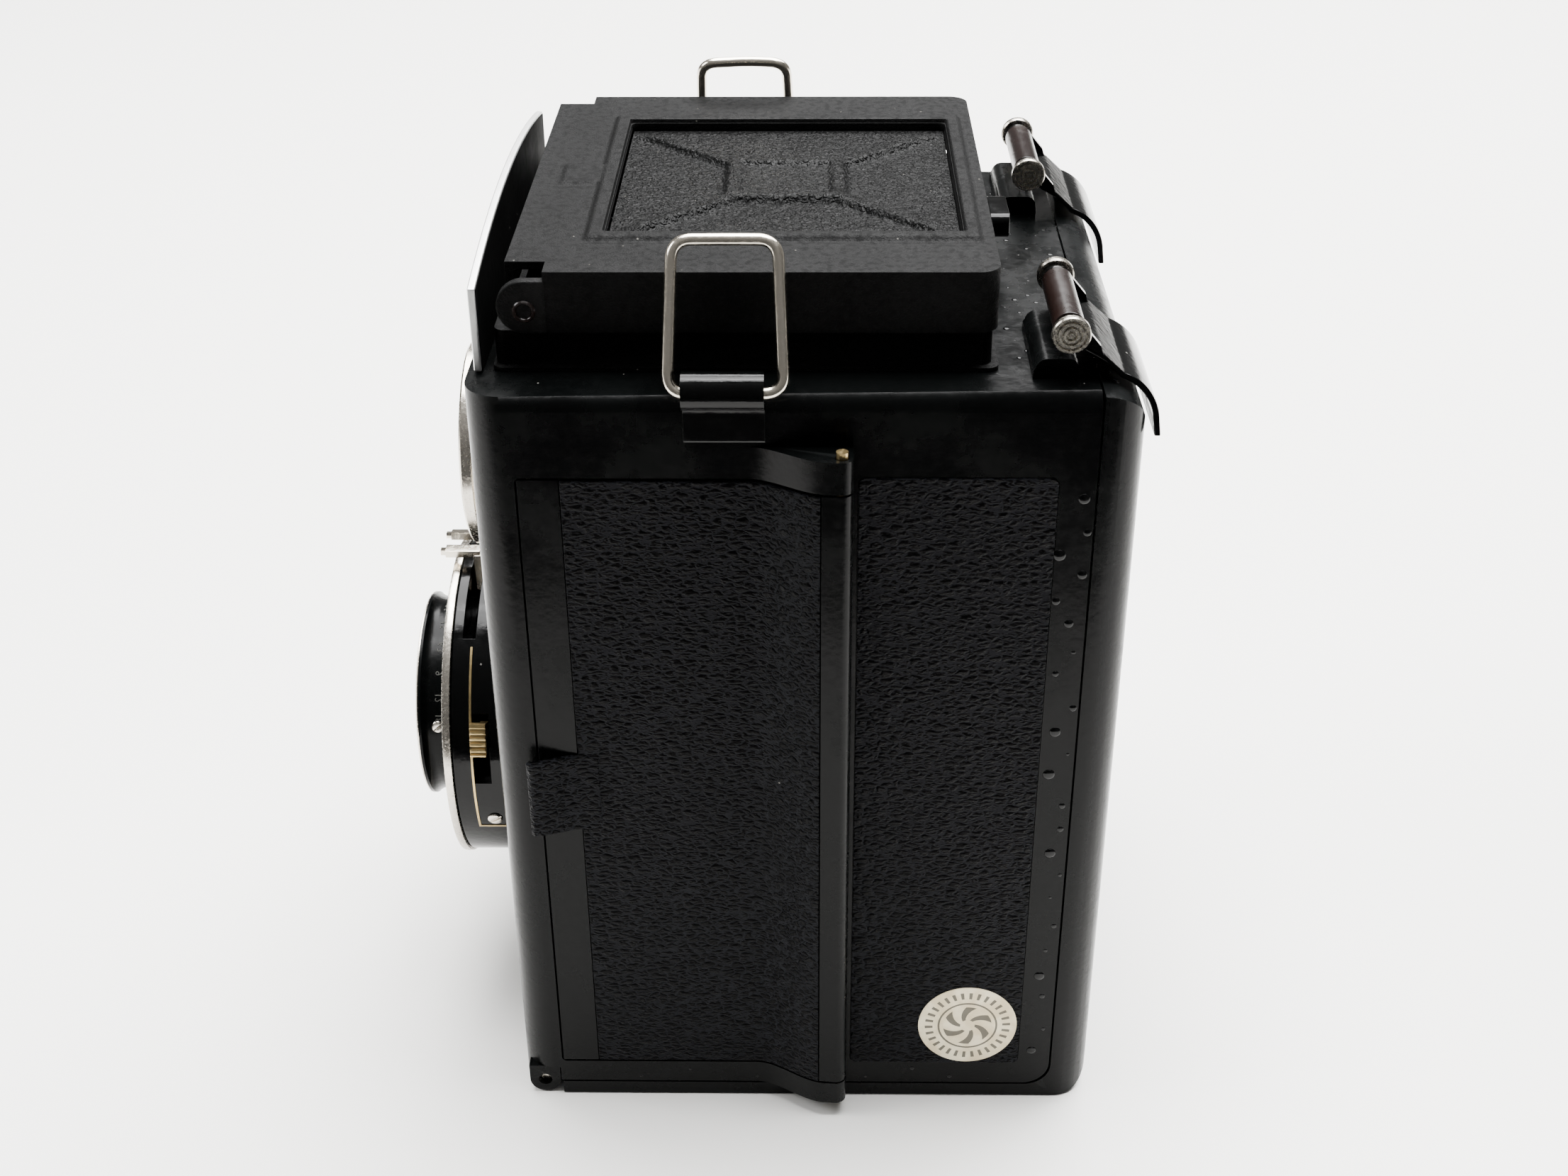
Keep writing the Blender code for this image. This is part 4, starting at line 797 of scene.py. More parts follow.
def make_latch(side, suffix):
    """Spring strap over the back's top edge, two cheeks, and a ribbed roller with ringed ends."""
    body = f"latch_{suffix}"
    roller = pivot_mm(f"latch_roller_{suffix}_spin")
    hinge = pivot_mm(f"latch_{suffix}_hinge")
    low_box, high_box = box_mm(f"latch_arm_{suffix}")
    near, far = low_box.x, high_box.x

    def line(offset):
        points = [(hinge.y - 0.2 + offset, hinge.z - 0.3)]
        points += circle((BACK_PLANE_Y, DECK_TOP - 6.0), 7.0 + offset, 16, 8, 62)
        points += [(37.6, 122.9 + offset), (36.4, 123.6 + offset), (35.0, roller.z - 2.6 + offset)]
        return points
    bm = prism(line(0.85) + line(0.0)[::-1], near, far, "X")
    strap = solid(f"latch_strap_{suffix}", bm, edge=0.22, segments=2, angle=40.0)
    finish_piece(strap, GLOSS, body, (f"latch_arm_{suffix}",))
    for tag, x0, x1 in (("inner", near, near + 1.0), ("outer", far - 1.0, far)):
        cheek = circle((roller.y, roller.z), 1.9, 20, 60, 200)
        cheek += [(35.3, roller.z - 2.5), (37.4, 123.6), (37.0, 125.0)]
        hole = [circle((roller.y, roller.z), 0.85, 24)]
        web = solid(f"latch_cheek_{tag}_{suffix}", prism(cheek, x0, x1, "X", hole), edge=0.15, segments=2)
        finish_piece(web, GLOSS, body, ())
    make_roller(suffix, roller)
    return strap


def make_roller(suffix, roller):
    low, high = box_mm(f"latch_roller_{suffix}")
    body = f"latch_roller_{suffix}"
    centre = (roller.y, roller.z)
    inner = [(0.0, low.x + 1.0), (0.7, low.x + 1.0), (0.7, low.x + 2.7), (2.05, low.x + 2.75)]
    inner += [(2.05, high.x - 2.75), (0.7, high.x - 2.7), (0.7, high.x - 1.0), (0.0, high.x - 1.0)]
    core = solid(f"roller_core_{suffix}", turned(inner, centre, "X", 40), edge=0.12, segments=2)
    finish_piece(core, BROWN, body, (f"latch_roller_{suffix}",))
    for tag, face, back in (("left", high.x, high.x - 1.1), ("right", low.x, low.x + 1.1)):
        sign = 1 if face > back else -1
        profile = [(0.0, back), (2.3, back), (2.5, back + sign * 0.25)]
        profile += [(2.5, face - sign * 0.2), (2.36, face)]
        for outer in (2.05, 1.35, 0.7):
            profile += [(outer, face), (outer - 0.08, face - sign * 0.25), (outer - 0.27, face - sign * 0.25)]
            profile += [(outer - 0.35, face)]
        profile += [(0.0, face)]
        disc = raw_object(f"roller_cap_{tag}_{suffix}", turned(profile, centre, "X", 48))
        smooth(disc, 28.0)
        finish_piece(disc, CAP, body, ())


# ---------------------------------------------------------------- hood

def lid_height(x, y):
    """Height of the pressed lid above its flat: ridges, tongue and rounded rim."""
    border_in = max(abs(x) - 23.4, -26.9 - y, y - 20.4)
    border_out = max(abs(x) - 25.6, -29.2 - y, y - 22.4)
    if border_in < -0.35:
        return -1.6
    ridge = 0.55 * smooth_step((border_in + 0.35) / 0.6) * smooth_step(-(border_out - 0.35) / 0.7)
    well = -1.6 * smooth_step((0.1 - border_in) / 0.35)
    tongue_edge = max(abs(x) - 3.9, -34.8 - y, y + 27.0)
    tongue = 0.3 * smooth_step((0.25 - tongue_edge) / 0.6)
    return max(ridge, tongue) + well


def outside_relief(x, y):
    """Parts of the relief's grid that would hide the panel or stand past the lid's front."""
    return lid_height(x, y) < -1.55 or (y < -30.0 and abs(x) > 5.2)


def panel_height(x, y):
    """Height of the pressed finder panel: crossed ribs and a plain raised frame."""
    cx, cy = x, y + 3.3
    frame_out = max(abs(cx) - 8.3, abs(cy) - 8.5)
    frame_in = max(abs(cx) - 6.3, abs(cy) - 6.3)
    outer = smooth_step((0.5 - frame_out) / 1.0)
    bowl = smooth_step((0.4 - frame_in) / 0.8)
    height = 0.95 * outer - 0.5 * bowl
    for end_x, end_y in ((21.0, 22.4), (21.0, -22.2)):
        length = hypot(end_x, end_y)
        ux, uy = end_x / length, end_y / length
        along = abs(cx) * ux + cy * uy
        across = abs(abs(cx) * uy - cy * ux)
        if 9.0 < along < length + 1.0:
            fade = smooth_step((length + 1.0 - along) / 6.0)
            width = 0.75 + 0.02 * (length - along)
            height = max(height, 0.75 * fade * smooth_step((width + 0.6 - across) / 0.8))
    return height


def pressed_sheet(x0, x1, y0, y1, step, top_z, height):
    """A grid sheet whose height follows a function of X and Y."""
    nx = int(round((x1 - x0) / step))
    ny = int(round((y1 - y0) / step))
    bm = bmesh.new()
    rows = []
    for j in range(ny + 1):
        y = y0 + (y1 - y0) * j / ny
        row = []
        for i in range(nx + 1):
            x = x0 + (x1 - x0) * i / nx
            row.append(bm.verts.new((x, y, top_z + height(x, y))))
        rows.append(row)
    for low_row, high_row in zip(rows, rows[1:]):
        for i in range(nx):
            bm.faces.new((low_row[i], low_row[i + 1], high_row[i + 1], high_row[i]))
    return bm


def make_hood_lid():
    """Pressed lid: rounded rim, raised border round a well, and a frame of side walls."""
    flat_z = 134.0
    x_half = 36.6
    y0, y1 = -38.8, 24.3
    rim_r = 2.1
    outline_r = 2.8

    outline = rounded(-x_half, y0, x_half, y1, outline_r, 12)
    bm = prism(outline, 125.7, flat_z)
    rim = [e for e in bm.edges if min(v.co.z for v in e.verts) > flat_z - 0.01]
    bmesh.ops.bevel(bm, geom=rim, offset=rim_r, segments=9, profile=0.5, affect="EDGES")
    inner = rounded(-x_half + 1.3, y0 + 1.2, x_half - 1.3, y1 - 1.3, 1.0)
    narrow = rounded(-x_half + 1.3, y0 - 3.0, x_half - 1.3, y0 + 2.0, 0.0)
    cuts = [
        prism(inner, 120.0, flat_z - 1.1),
        prism(narrow, 120.0, LID_PIVOT.z + 1.4),
        rod(1.0, -x_half - 3, x_half + 3, (LID_PIVOT.y, LID_PIVOT.z), "X", 24),
        prism(rounded(-23.2, -26.9, 23.2, 20.3, 1.0), flat_z - 5.0, flat_z + 3.0),
        rod(1.2, y1 - 4.0, y1 + 4.0, (0.0, 127.8), "Y", 24),
    ]
    cheeks = []
    for side in (1, -1):
        slot_low, slot_high = span(side, 33.0, 35.15)
        cuts.append(prism(rounded(slot_low, y0 - 3.0, slot_high, -33.6, 0.0), 120.0, flat_z + 5.0))
        gap = rounded(y0 - 3.0, 120.0, -33.6, flat_z + 3.0, 0.0)
        cuts.append(prism(gap, *span(side, x_half - 1.5, x_half + 3.0), "X"))
        cheek = circle((LID_PIVOT.y, 129.2), 3.55, 24, 90, 180) + [(-33.4, 125.65), (-33.4, 132.75)]
        cheeks.append(prism(cheek, *span(side, x_half - 1.45, x_half + 0.12), "X"))
    shell = solid("lid_shell", bm, (), cuts, edge=0.18, segments=2)
    finish_piece(shell, CRACKLE, "hood_lid", ("hood_lid",))
    for cheek, suffix in zip(cheeks, ("left", "right")):
        item = solid(f"lid_cheek_{suffix}", cheek, edge=0.25, segments=3)
        finish_piece(item, CRACKLE, "hood_lid", ())

    step = 0.34
    top = pressed_sheet(-26.6, 26.6, -36.0, 23.2, step, flat_z + 0.02, lid_height)
    far = [f for f in top.faces if outside_relief(*f.calc_center_median().xy)]
    bmesh.ops.delete(top, geom=far, context="FACES")
    relief = raw_object("lid_relief", top)
    thick = relief.modifiers.new("thickness", "SOLIDIFY")
    thick.thickness = 0.12 * MM
    thick.offset = -1.0
    baked(relief)
    smooth(relief, 60.0)
    finish_piece(relief, CRACKLE, "hood_lid", ())
    panel = pressed_sheet(-22.9, 22.9, -26.6, 20.0, step, flat_z - 1.15, panel_height)
    sheet = raw_object("finder_sheet", panel)
    thick = sheet.modifiers.new("thickness", "SOLIDIFY")
    thick.thickness = 0.7 * MM
    thick.offset = -1.0
    baked(sheet)
    smooth(sheet, 60.0)
    finish_piece(sheet, COARSE, "hood_lid", ("finder_panel",))
    for side, suffix in ((1, "left"), (-1, "right")):
        make_lid_rivet(side, suffix)
    return shell


def make_lid_rivet(side, suffix):
    """Hollow rivet that the lid turns on, sunk, and dark brown-black all over as painted shade for its
    hollow.
    """
    face = side * 36.72
    profile = [(0.0, side * 34.0), (0.95, side * 34.0), (0.95, face - side * 0.3), (1.45, face - side * 0.2)]
    profile += [(1.5, face + side * 0.05), (1.35, face + side * 0.22), (1.1, face + side * 0.2), (0.9, face)]
    profile += [(0.8, face - side * 0.7), (0.0, face - side * 0.75)]
    rivet = raw_object(f"lid_rivet_{suffix}", turned(profile, (LID_PIVOT.y, LID_PIVOT.z), "X", 40))
    smooth(rivet, 40.0)
    # The dark brown-black finish over the whole rivet is painted shade standing in for its dark hollow.
    finish_piece(rivet, BROWN, "camera_body", (f"hood_rivet_{suffix}",))


def make_hood_base():
    outer = rounded(-35.0, -40.6, 35.0, 23.7, 1.5)
    inner = rounded(-33.0, -38.6, 33.0, 21.7, 1.0)
    bm = prism(outer, DECK_TOP + 0.3, 125.4, "Z", [inner])
    flange = prism(rounded(-36.0, -40.9, 36.0, 24.6, 1.5), DECK_TOP + 0.06, DECK_TOP + 0.6, "Z", [inner])
    adds = [flange]
    for side in (1, -1):
        ear = rounded(LID_PIVOT.y - 1.8, 122.0, LID_PIVOT.y + 1.8, LID_PIVOT.z + 1.8, (0, 0, 1.8, 1.8))
        hole = [circle((LID_PIVOT.y, LID_PIVOT.z), 1.0, 24)]
        adds.append(prism(ear, *span(side, 33.6, 34.9), "X", hole))
    item = solid("hood_frame", bm, adds, (), edge=0.2, segments=2)
    return finish_piece(item, CRACKLE, "camera_body", ("hood_base",))


def make_latch_button():
    bm = prism(rounded(-4.5, 126.1, 4.5, 129.5, 1.1), 25.4, 28.1, "Y")
    stem = rod(0.95, 22.1, 26.4, (0.0, 127.8), "Y", 24)
    item = solid("hood_catch", bm, [stem], (), edge=0.4, segments=4)
    return finish_piece(item, GLOSS, "hood_button", ("hood_latch_button",))


def fascia_outline(inset, steps=48):
    """Upright plate on the deck whose top is one shallow arch."""
    half = 36.6 - inset
    arch = []
    for i in range(steps + 1):
        x = half - 2 * half * i / steps
        arch.append((x, FASCIA_HIGH.z - inset - 3.4 * (x / 36.6) ** 2))
    return arch + [(-half, DECK_TOP + 0.3), (half, DECK_TOP + 0.3)]


def make_fascia():
    """Plated shield with a black field in front and a black sheet behind."""
    front, rear = FASCIA_LOW.y, FASCIA_HIGH.y
    plate = prism(fascia_outline(0.0), front - 0.25, rear + 0.05, "Y")
    item = solid("shield_plate", plate, edge=0.2, segments=3, angle=40)
    finish_piece(item, ALUMINIUM, "camera_body", ("fascia_plate",))
    field = prism(fascia_outline(2.2), front - 0.37, front + 0.2, "Y")
    item = solid("shield_field", field, edge=0.08, segments=2, angle=40)
    finish_piece(item, GLOSS, "camera_body", ())
    sheet = prism(fascia_outline(0.3), rear + 0.06, rear + 0.17, "Y")
    item = solid("shield_backing", sheet, edge=0.05, segments=1, angle=40)
    return finish_piece(item, SOOT, "camera_body", ("fascia_panel",))


# ---------------------------------------------------------------- shutter and lenses

def about_taking(profile, name, segments=128):
    return raw_object(name, turned(profile, (0.0, TAKING_Z), "Y", segments))


def sector(r0, r1, start, sweep, low, high, segments=24):
    centre = (0.0, TAKING_Z)
    outline = circle(centre, r1, segments, start, sweep)
    outline += circle(centre, r0, segments, start + sweep, -sweep)
    return prism(outline, low, high, "Y")


def make_shutter():
    r = 25.4
    front, back = -54.5, -45.2
    profile = [(16.5, front), (24.9, front), (r, front + 0.5), (r, back), (19.6, back), (19.6, -37.0)]
    profile += [(17.6, -37.0), (17.6, back - 1.5), (23.4, back - 1.5)]
    profile += [(23.4, front + 1.8), (16.5, front + 1.8)]
    drum = turned(profile, (0.0, TAKING_Z), "Y", 128)
    cuts = [sector(22.0, 28.0, 52.0, 76.0, -52.6, -50.6, 32)]
    cuts.append(sector(22.0, 28.0, 0.0, 26.0, -51.2, -48.4, 12))
    item = solid("shutter_drum", drum, (), cuts, edge=0.12, segments=2, angle=28)
    finish_piece(item, GLOSS, "shutter_unit", ("shutter_housing",))
    rim = about_taking([(23.4, -54.6), (23.4, -55.5), (25.0, -55.6), (25.7, -55.4), (25.8, -54.9),
                        (25.7, -54.3), (25.42, -54.2), (25.42, -54.55)], "shutter_rim_ring")
    smooth(rim, 35)
    finish_piece(rim, NICKEL, "shutter_unit", ("shutter_rim",))
    for name, run in (("drum_line_ring", (-21.0, 70.0, -51.35, -50.95, 64)),
                      ("drum_line_foot", (-21.9, 0.9, -51.35, -45.4, 3))):
        line = solid(name, sector(25.36, 25.52, *run), edge=0.05, segments=1)
        finish_piece(line, BRASS, "shutter_unit", ())
    face = [(16.6, -54.62), (16.6, -54.9), (17.2, -55.0), (22.8, -54.95), (23.2, -54.7), (23.2, -54.62)]
    plate = about_taking(face, "shutter_face")
    smooth(plate, 30)
    finish_piece(plate, SATIN, "shutter_unit", ())
    make_screw("drum_screw", -17.0, -48.6, 25.45, 1.15)
    make_lens_rings()
    make_levers()


def radial(angle, radius, y):
    """A frame at a point on the drum: its X axis out from the lens axis, its Y axis along the camera."""
    turn = radians(angle)
    out = Vector((cos(turn), 0.0, sin(turn)))
    along = Vector((0.0, 1.0, 0.0))
    side = out.cross(along)
    spot = Vector((0.0, 0.0, TAKING_Z)) + out * radius + Vector((0.0, y, 0.0))
    return Matrix.Translation(spot) @ Matrix((out, along, side)).transposed().to_4x4()


def make_screw(name, angle, y, radius, size):
    """Slotted cheese-head screw set into a round face."""
    profile = [(0.0, -0.8), (size, -0.8), (size, 0.18), (size * 0.82, 0.32), (0.0, 0.36)]
    bm = turned(profile, (0.0, 0.0), "X", 32)
    slot_bm = prism(rounded(-size * 1.4, -size * 0.17, size * 1.4, size * 0.17, 0.0), 0.08, 1.5, "X")
    for part in (bm, slot_bm):
        bmesh.ops.transform(part, matrix=radial(angle, radius, y) @ Matrix.Rotation(radians(35), 4, "X"),
                            verts=part.verts)
    item = solid(name, bm, (), [slot_bm], edge=0.05, segments=2)
    return finish_piece(item, NICKEL, "shutter_unit", ())


def make_lens_rings():
    """Black lens barrel with a flared front rim, engraved scale and a polished inner ring."""
    profile = [(13.2, -60.4), (14.3, -61.2), (15.9, -61.3), (16.4, -61.05), (16.4, -60.5), (16.1, -60.2)]
    profile += [(15.75, -59.6), (15.6, -58.8), (15.6, -55.4), (15.9, -55.1), (15.9, -54.7), (15.6, -54.6)]
    profile += [(15.6, -47.0), (13.2, -47.0)]
    barrel = about_taking(profile, "lens_barrel", 160)
    smooth(barrel, 30)
    finish_piece(barrel, SATIN, "shutter_unit", ("taking_lens_barrel",))
    edge = about_taking([(15.95, -61.34), (16.42, -61.08), (16.42, -60.92), (16.2, -60.95), (15.9, -61.2)],
                        "lens_rim_edge", 160)
    smooth(edge, 40)
    finish_piece(edge, NICKEL, "shutter_unit", ())
    make_screw("barrel_screw", 13.0, -58.0, 15.62, 0.95)
    numbers = (("12", 30.0), ("9", 44.0), ("6.3", 60.0), ("4.5", 76.0), ("3.5", 92.0), ("18", 18.0))
    for text, angle in numbers:
        make_barrel_number(text, angle, -57.3, 15.63)
    for k in range(24):
        angle = 10.0 + 4.0 * k
        mark = sector(15.58, 15.66, angle, 0.35, -55.9 if k % 2 else -56.3, -55.5, 2)
        item = solid(f"barrel_mark_{k:02d}", mark)
        finish_piece(item, CREAM, "shutter_unit", ())


def number_shape(name, text, size, placed, align_y=None):
    """The raised mesh of a number, with each corner moved by the given function."""
    curve = bpy.data.curves.new(name, "FONT")
    curve.body = text
    curve.size = size
    curve.align_x = "CENTER"
    if align_y:
        curve.align_y = align_y
    curve.extrude = 0.03
    temp = bpy.data.objects.new("temp_text", curve)
    bpy.context.scene.collection.objects.link(temp)
    bpy.context.view_layer.update()
    mesh = bpy.data.meshes.new_from_object(temp.evaluated_get(bpy.context.evaluated_depsgraph_get()))
    bpy.data.objects.remove(temp)
    bm = bmesh.new()
    bm.from_mesh(mesh)
    bpy.data.meshes.remove(mesh)
    for vert in bm.verts:
        vert.co = placed(*vert.co)
    bmesh.ops.remove_doubles(bm, verts=bm.verts, dist=0.001)
    return bm


def make_barrel_number(text, angle, y, radius):
    """A number of the stop scale, wrapped round the barrel."""
    def wrapped(across, up, out):
        turn = radians(angle) - across / radius
        reach = radius + out
        return Vector((reach * cos(turn), y - up, TAKING_Z + reach * sin(turn)))

    shape = number_shape(f"stop_{text}", text, 1.5, wrapped)
    item = raw_object("stop_" + text.replace(".", "_"), shape)
    return finish_piece(item, CREAM, "shutter_unit", ())


def make_levers():
    """Two plated tabs at the top of the drum and the knurled release at its side."""
    tip = -57.4
    for node_name, middle, width in (("cocking_lever", 86.0, 5.4), ("aperture_lever", 97.6, 4.6)):
        root = sector(21.0, 27.6, middle - width / 2, width, -52.2, -51.0, 8)
        narrow = width * 0.72
        blade = sector(27.0, 28.2, middle - narrow / 2, narrow, tip + 0.8, -51.2, 8)
        point = sector(27.1, 28.0, middle - narrow / 4, narrow / 2, tip, tip + 1.2, 4)
        item = solid(f"{node_name}_tab", root, [blade, point], (), edge=0.14, segments=2)
        finish_piece(item, BRIGHT, node_name, (node_name,))
    stem = sector(20.6, 27.0, 15.0, 6.0, -50.4, -49.2, 8)
    pad = sector(26.2, 27.5, 12.6, 10.8, -51.0, -48.6, 12)
    teeth = [sector(27.2, 27.8, 13.4 + 1.9 * k, 0.9, -51.2, -48.4, 2) for k in range(5)]
    item = solid("release_pad", pad, [stem], teeth, edge=0.1, segments=2)
    finish_piece(item, BRASS, "release_lever", ("release_lever",))


def lens_profile(radius, front_y, back_y, bulge, steps=12):
    points = [(0.0, front_y)]
    for i in range(1, steps + 1):
        r = radius * i / steps
        points.append((r, front_y + bulge * (r / radius) ** 2))
    for i in range(steps, 0, -1):
        r = radius * i / steps
        points.append((r, back_y - 0.5 * bulge * (r / radius) ** 2))
    points.append((0.0, back_y))
    return points


def make_glass_and_viewing_lens():
    lens = turned(lens_profile(12.9, -58.8, -54.4, 1.8), (0.0, TAKING_Z), "Y", 72)
    front = raw_object("taking_front_glass", lens)
    smooth(front, 30)
    finish_piece(front, GLASS, "shutter_unit", ("taking_lens_glass",))
    blades = make_iris()
    finish_piece(blades, DULL, "shutter_unit", ("iris_diaphragm",))
    centre = (0.0, VIEWING_Z)
    seat = [(15.9, -45.5), (16.2, -45.8), (17.1, -45.8), (17.6, -45.3), (17.6, -43.6), (15.9, -43.6)]
    ring = raw_object("viewing_seat", turned(seat, centre))
    smooth(ring, 30)
    finish_piece(ring, NICKEL, "camera_body", ("viewing_lens_mount",))
    profile = [(12.6, -49.9), (14.0, -50.6), (15.2, -50.7), (15.5, -50.4), (15.5, -49.0), (15.2, -48.6)]
    profile += [(14.8, -48.3), (14.8, -38.5), (12.6, -38.5)]
    barrel = raw_object("viewing_barrel", turned(profile, centre))
    smooth(barrel, 30)
    finish_piece(barrel, NICKEL, "viewing_lens", ("viewing_lens_barrel",))
    glass = raw_object("viewing_glass", turned(lens_profile(12.4, -49.9, -45.9, 1.6), centre, "Y", 72))
    smooth(glass, 30)
    return finish_piece(glass, GLASS, "viewing_lens", ("viewing_lens_glass",))


def make_iris():
    """Ten overlapping leaves round a small opening."""
    parts = []
    for k in range(10):
        turn = 36.0 * k
        y = -51.2 + 0.04 * (k % 2)
        outline = circle((0.0, 0.0), 12.8, 10, turn, 60)
        for reach, ahead in ((4.6, 75), (4.8, 20)):
            inner = radians(turn + ahead)
            outline.append((reach * cos(inner), reach * sin(inner)))
        moved = [(u, v + TAKING_Z) for u, v in outline]
        parts.append(prism(moved, y, y + 0.12 + 0.03 * k, "Y"))
    whole = bmesh.new()
    for part in parts:
        mesh = bpy.data.meshes.new("leaf")
        part.to_mesh(mesh)
        part.free()
        whole.from_mesh(mesh)
        bpy.data.meshes.remove(mesh)
    item = raw_object("iris_leaves", whole)
    return item


# ---------------------------------------------------------------- strap lugs and loops

def make_lug(side, suffix):
    x, z = LOOP.x, LOOP.z
    outer = circle((x + 0.1, z + 0.4), 2.48, 40, 222.0, -300.0)
    outline = outer + [(44.8, 118.9), (44.62, 118.0), (44.6, 114.4), (44.4, 114.05), (43.8, 114.0)]
    hole = [circle((side * x, z), 0.95, 32)]
    bm = prism(sided(outline, side), LOOP.y - 5.2, LOOP.y + 5.2, "Y", hole)
    item = solid(f"strap_lug_{suffix}_plate", bm, edge=0.2, segments=3, angle=40)
    return finish_piece(item, GLOSS, "camera_body", (f"strap_lug_{suffix}",))


def make_loop(side, suffix):
    """Bent wire loop with rounded corners, a little out of true."""
    lean = Vector((-7.4, 0.0, 18.0)).normalized()
    height = 18.98
    plan = [(-6.95, 0.0), (7.7, 0.0), (6.9, height), (-6.3, height)]
    base = Vector((LOOP.x, LOOP.y, LOOP.z))
    normal = Vector((lean.z, 0.0, -lean.x))
    path = []
    corner_r = 2.6
    for i, spot in enumerate(plan):
        here = Vector(spot)
        back_step = (Vector(plan[i - 1]) - here).normalized() * corner_r
        next_step = (Vector(plan[(i + 1) % 4]) - here).normalized() * corner_r
        for k in range(13):
            t = k / 12
            path.append(here + back_step * (1 - t) ** 2 + next_step * t ** 2)
        after = Vector(plan[(i + 1) % 4])
        for t in (0.3, 0.4, 0.5, 0.6, 0.7):
            path.append(here.lerp(after, t))
    bm = bmesh.new()
    rings = []
    sides = 20
    for i, spot in enumerate(path):
        along = (path[(i + 1) % len(path)] - path[i - 1]).normalized()
        tangent = Vector((0.0, along.x, 0.0)) + lean * along.y
        outward = tangent.cross(normal).normalized()
        level = spot.y / height
        wobble = 0.16 * sin(spot.x * 0.5 + 1.0) * level
        middle = base + Vector((0.0, spot.x, 0.0)) + lean * spot.y + normal * wobble
        ring = []
        for k in range(sides):
            turn = 2 * pi * k / sides
            point = middle + (outward * cos(turn) + normal * sin(turn)) * 0.78
            ring.append(bm.verts.new((side * point.x, point.y, point.z)))
        rings.append(ring)
    for i, ring in enumerate(rings):
        following = rings[(i + 1) % len(rings)]
        for k in range(sides):
            m = (k + 1) % sides
            bm.faces.new((ring[k], ring[m], following[m], following[k]))
    item = raw_object(f"wire_loop_{suffix}", bm)
    smooth(item, 80)
    return finish_piece(item, BRIGHT, f"strap_loop_{suffix}", (f"strap_loop_{suffix}",))


# ---------------------------------------------------------------- label, blisters, controls

def label_material():
    """Old cream and gold paper with a plain ring of ticks and a leaf rosette."""
    made, tree, shader, where = new_material("label_paper")
    split = node(tree, "ShaderNodeSeparateXYZ", {"Vector": where})
    y = math(tree, "SUBTRACT", split.outputs["Y"], LABEL_Y * MM)
    z = math(tree, "SUBTRACT", split.outputs["Z"], LABEL_Z * MM)
    square = math(tree, "ADD", math(tree, "POWER", y, 2.0), math(tree, "POWER", z, 2.0))
    radius = math(tree, "MULTIPLY", math(tree, "SQRT", square), TO_MM)
    angle = math(tree, "ARCTAN2", z, y)
    wave = math(tree, "SINE", math(tree, "MULTIPLY", angle, 30.0))
    ticks = math(tree, "MULTIPLY", math(tree, "GREATER_THAN", wave, 0.35), between(tree, radius, 5.3, 6.5))
    swirl = math(tree, "SINE", math(tree, "ADD", math(tree, "MULTIPLY", angle, 6.0),
                                    math(tree, "MULTIPLY", radius, 1.5)))
    leaves = math(tree, "MULTIPLY", math(tree, "GREATER_THAN", swirl, 0.25), between(tree, radius, 1.1, 3.7))
    ring = between(tree, radius, 4.25, 4.55)
    ink = math(tree, "MAXIMUM", math(tree, "MAXIMUM", ticks, leaves), ring)
    marks = use_group(tree, SMUDGE, where, Size=3.0)
    paper = mix_colour(tree, marks.outputs["Broad"], (0.62, 0.52, 0.33), (0.78, 0.7, 0.5))
    base = mix_colour(tree, math(tree, "MULTIPLY", ink, 0.9), paper, (0.03, 0.027, 0.02))
    tree.links.new(base, shader.inputs["Base Color"])
    tree.links.new(ramp(tree, marks.outputs["Fine"], 0.28, 0.45), shader.inputs["Roughness"])
    shader.inputs["Metallic"].default_value = 0.25
    set_bump(tree, shader, math(tree, "ADD", marks.outputs["Peel"], ink), 0.4, 0.03)
    return made


LABEL_Y = 24.3
LABEL_Z = 14.7
CREAM = enamel("engraving_fill", (0.035, 0.035, 0.032), 0.5, 0.6, peel=0.02, dust=0.0)
PAPER = label_material()


def make_label():
    section = ((0.0, 0.05), (7.45, 0.05), (7.5, 0.24), (7.3, 0.34), (5.0, 0.38), (0.0, 0.4))
    profile = [(radius, HALF + out) for radius, out in section]
    item = raw_object("round_label", turned(profile, (LABEL_Y, LABEL_Z), "X", 96))
    smooth(item, 40)
    return finish_piece(item, PAPER, "camera_body", ())


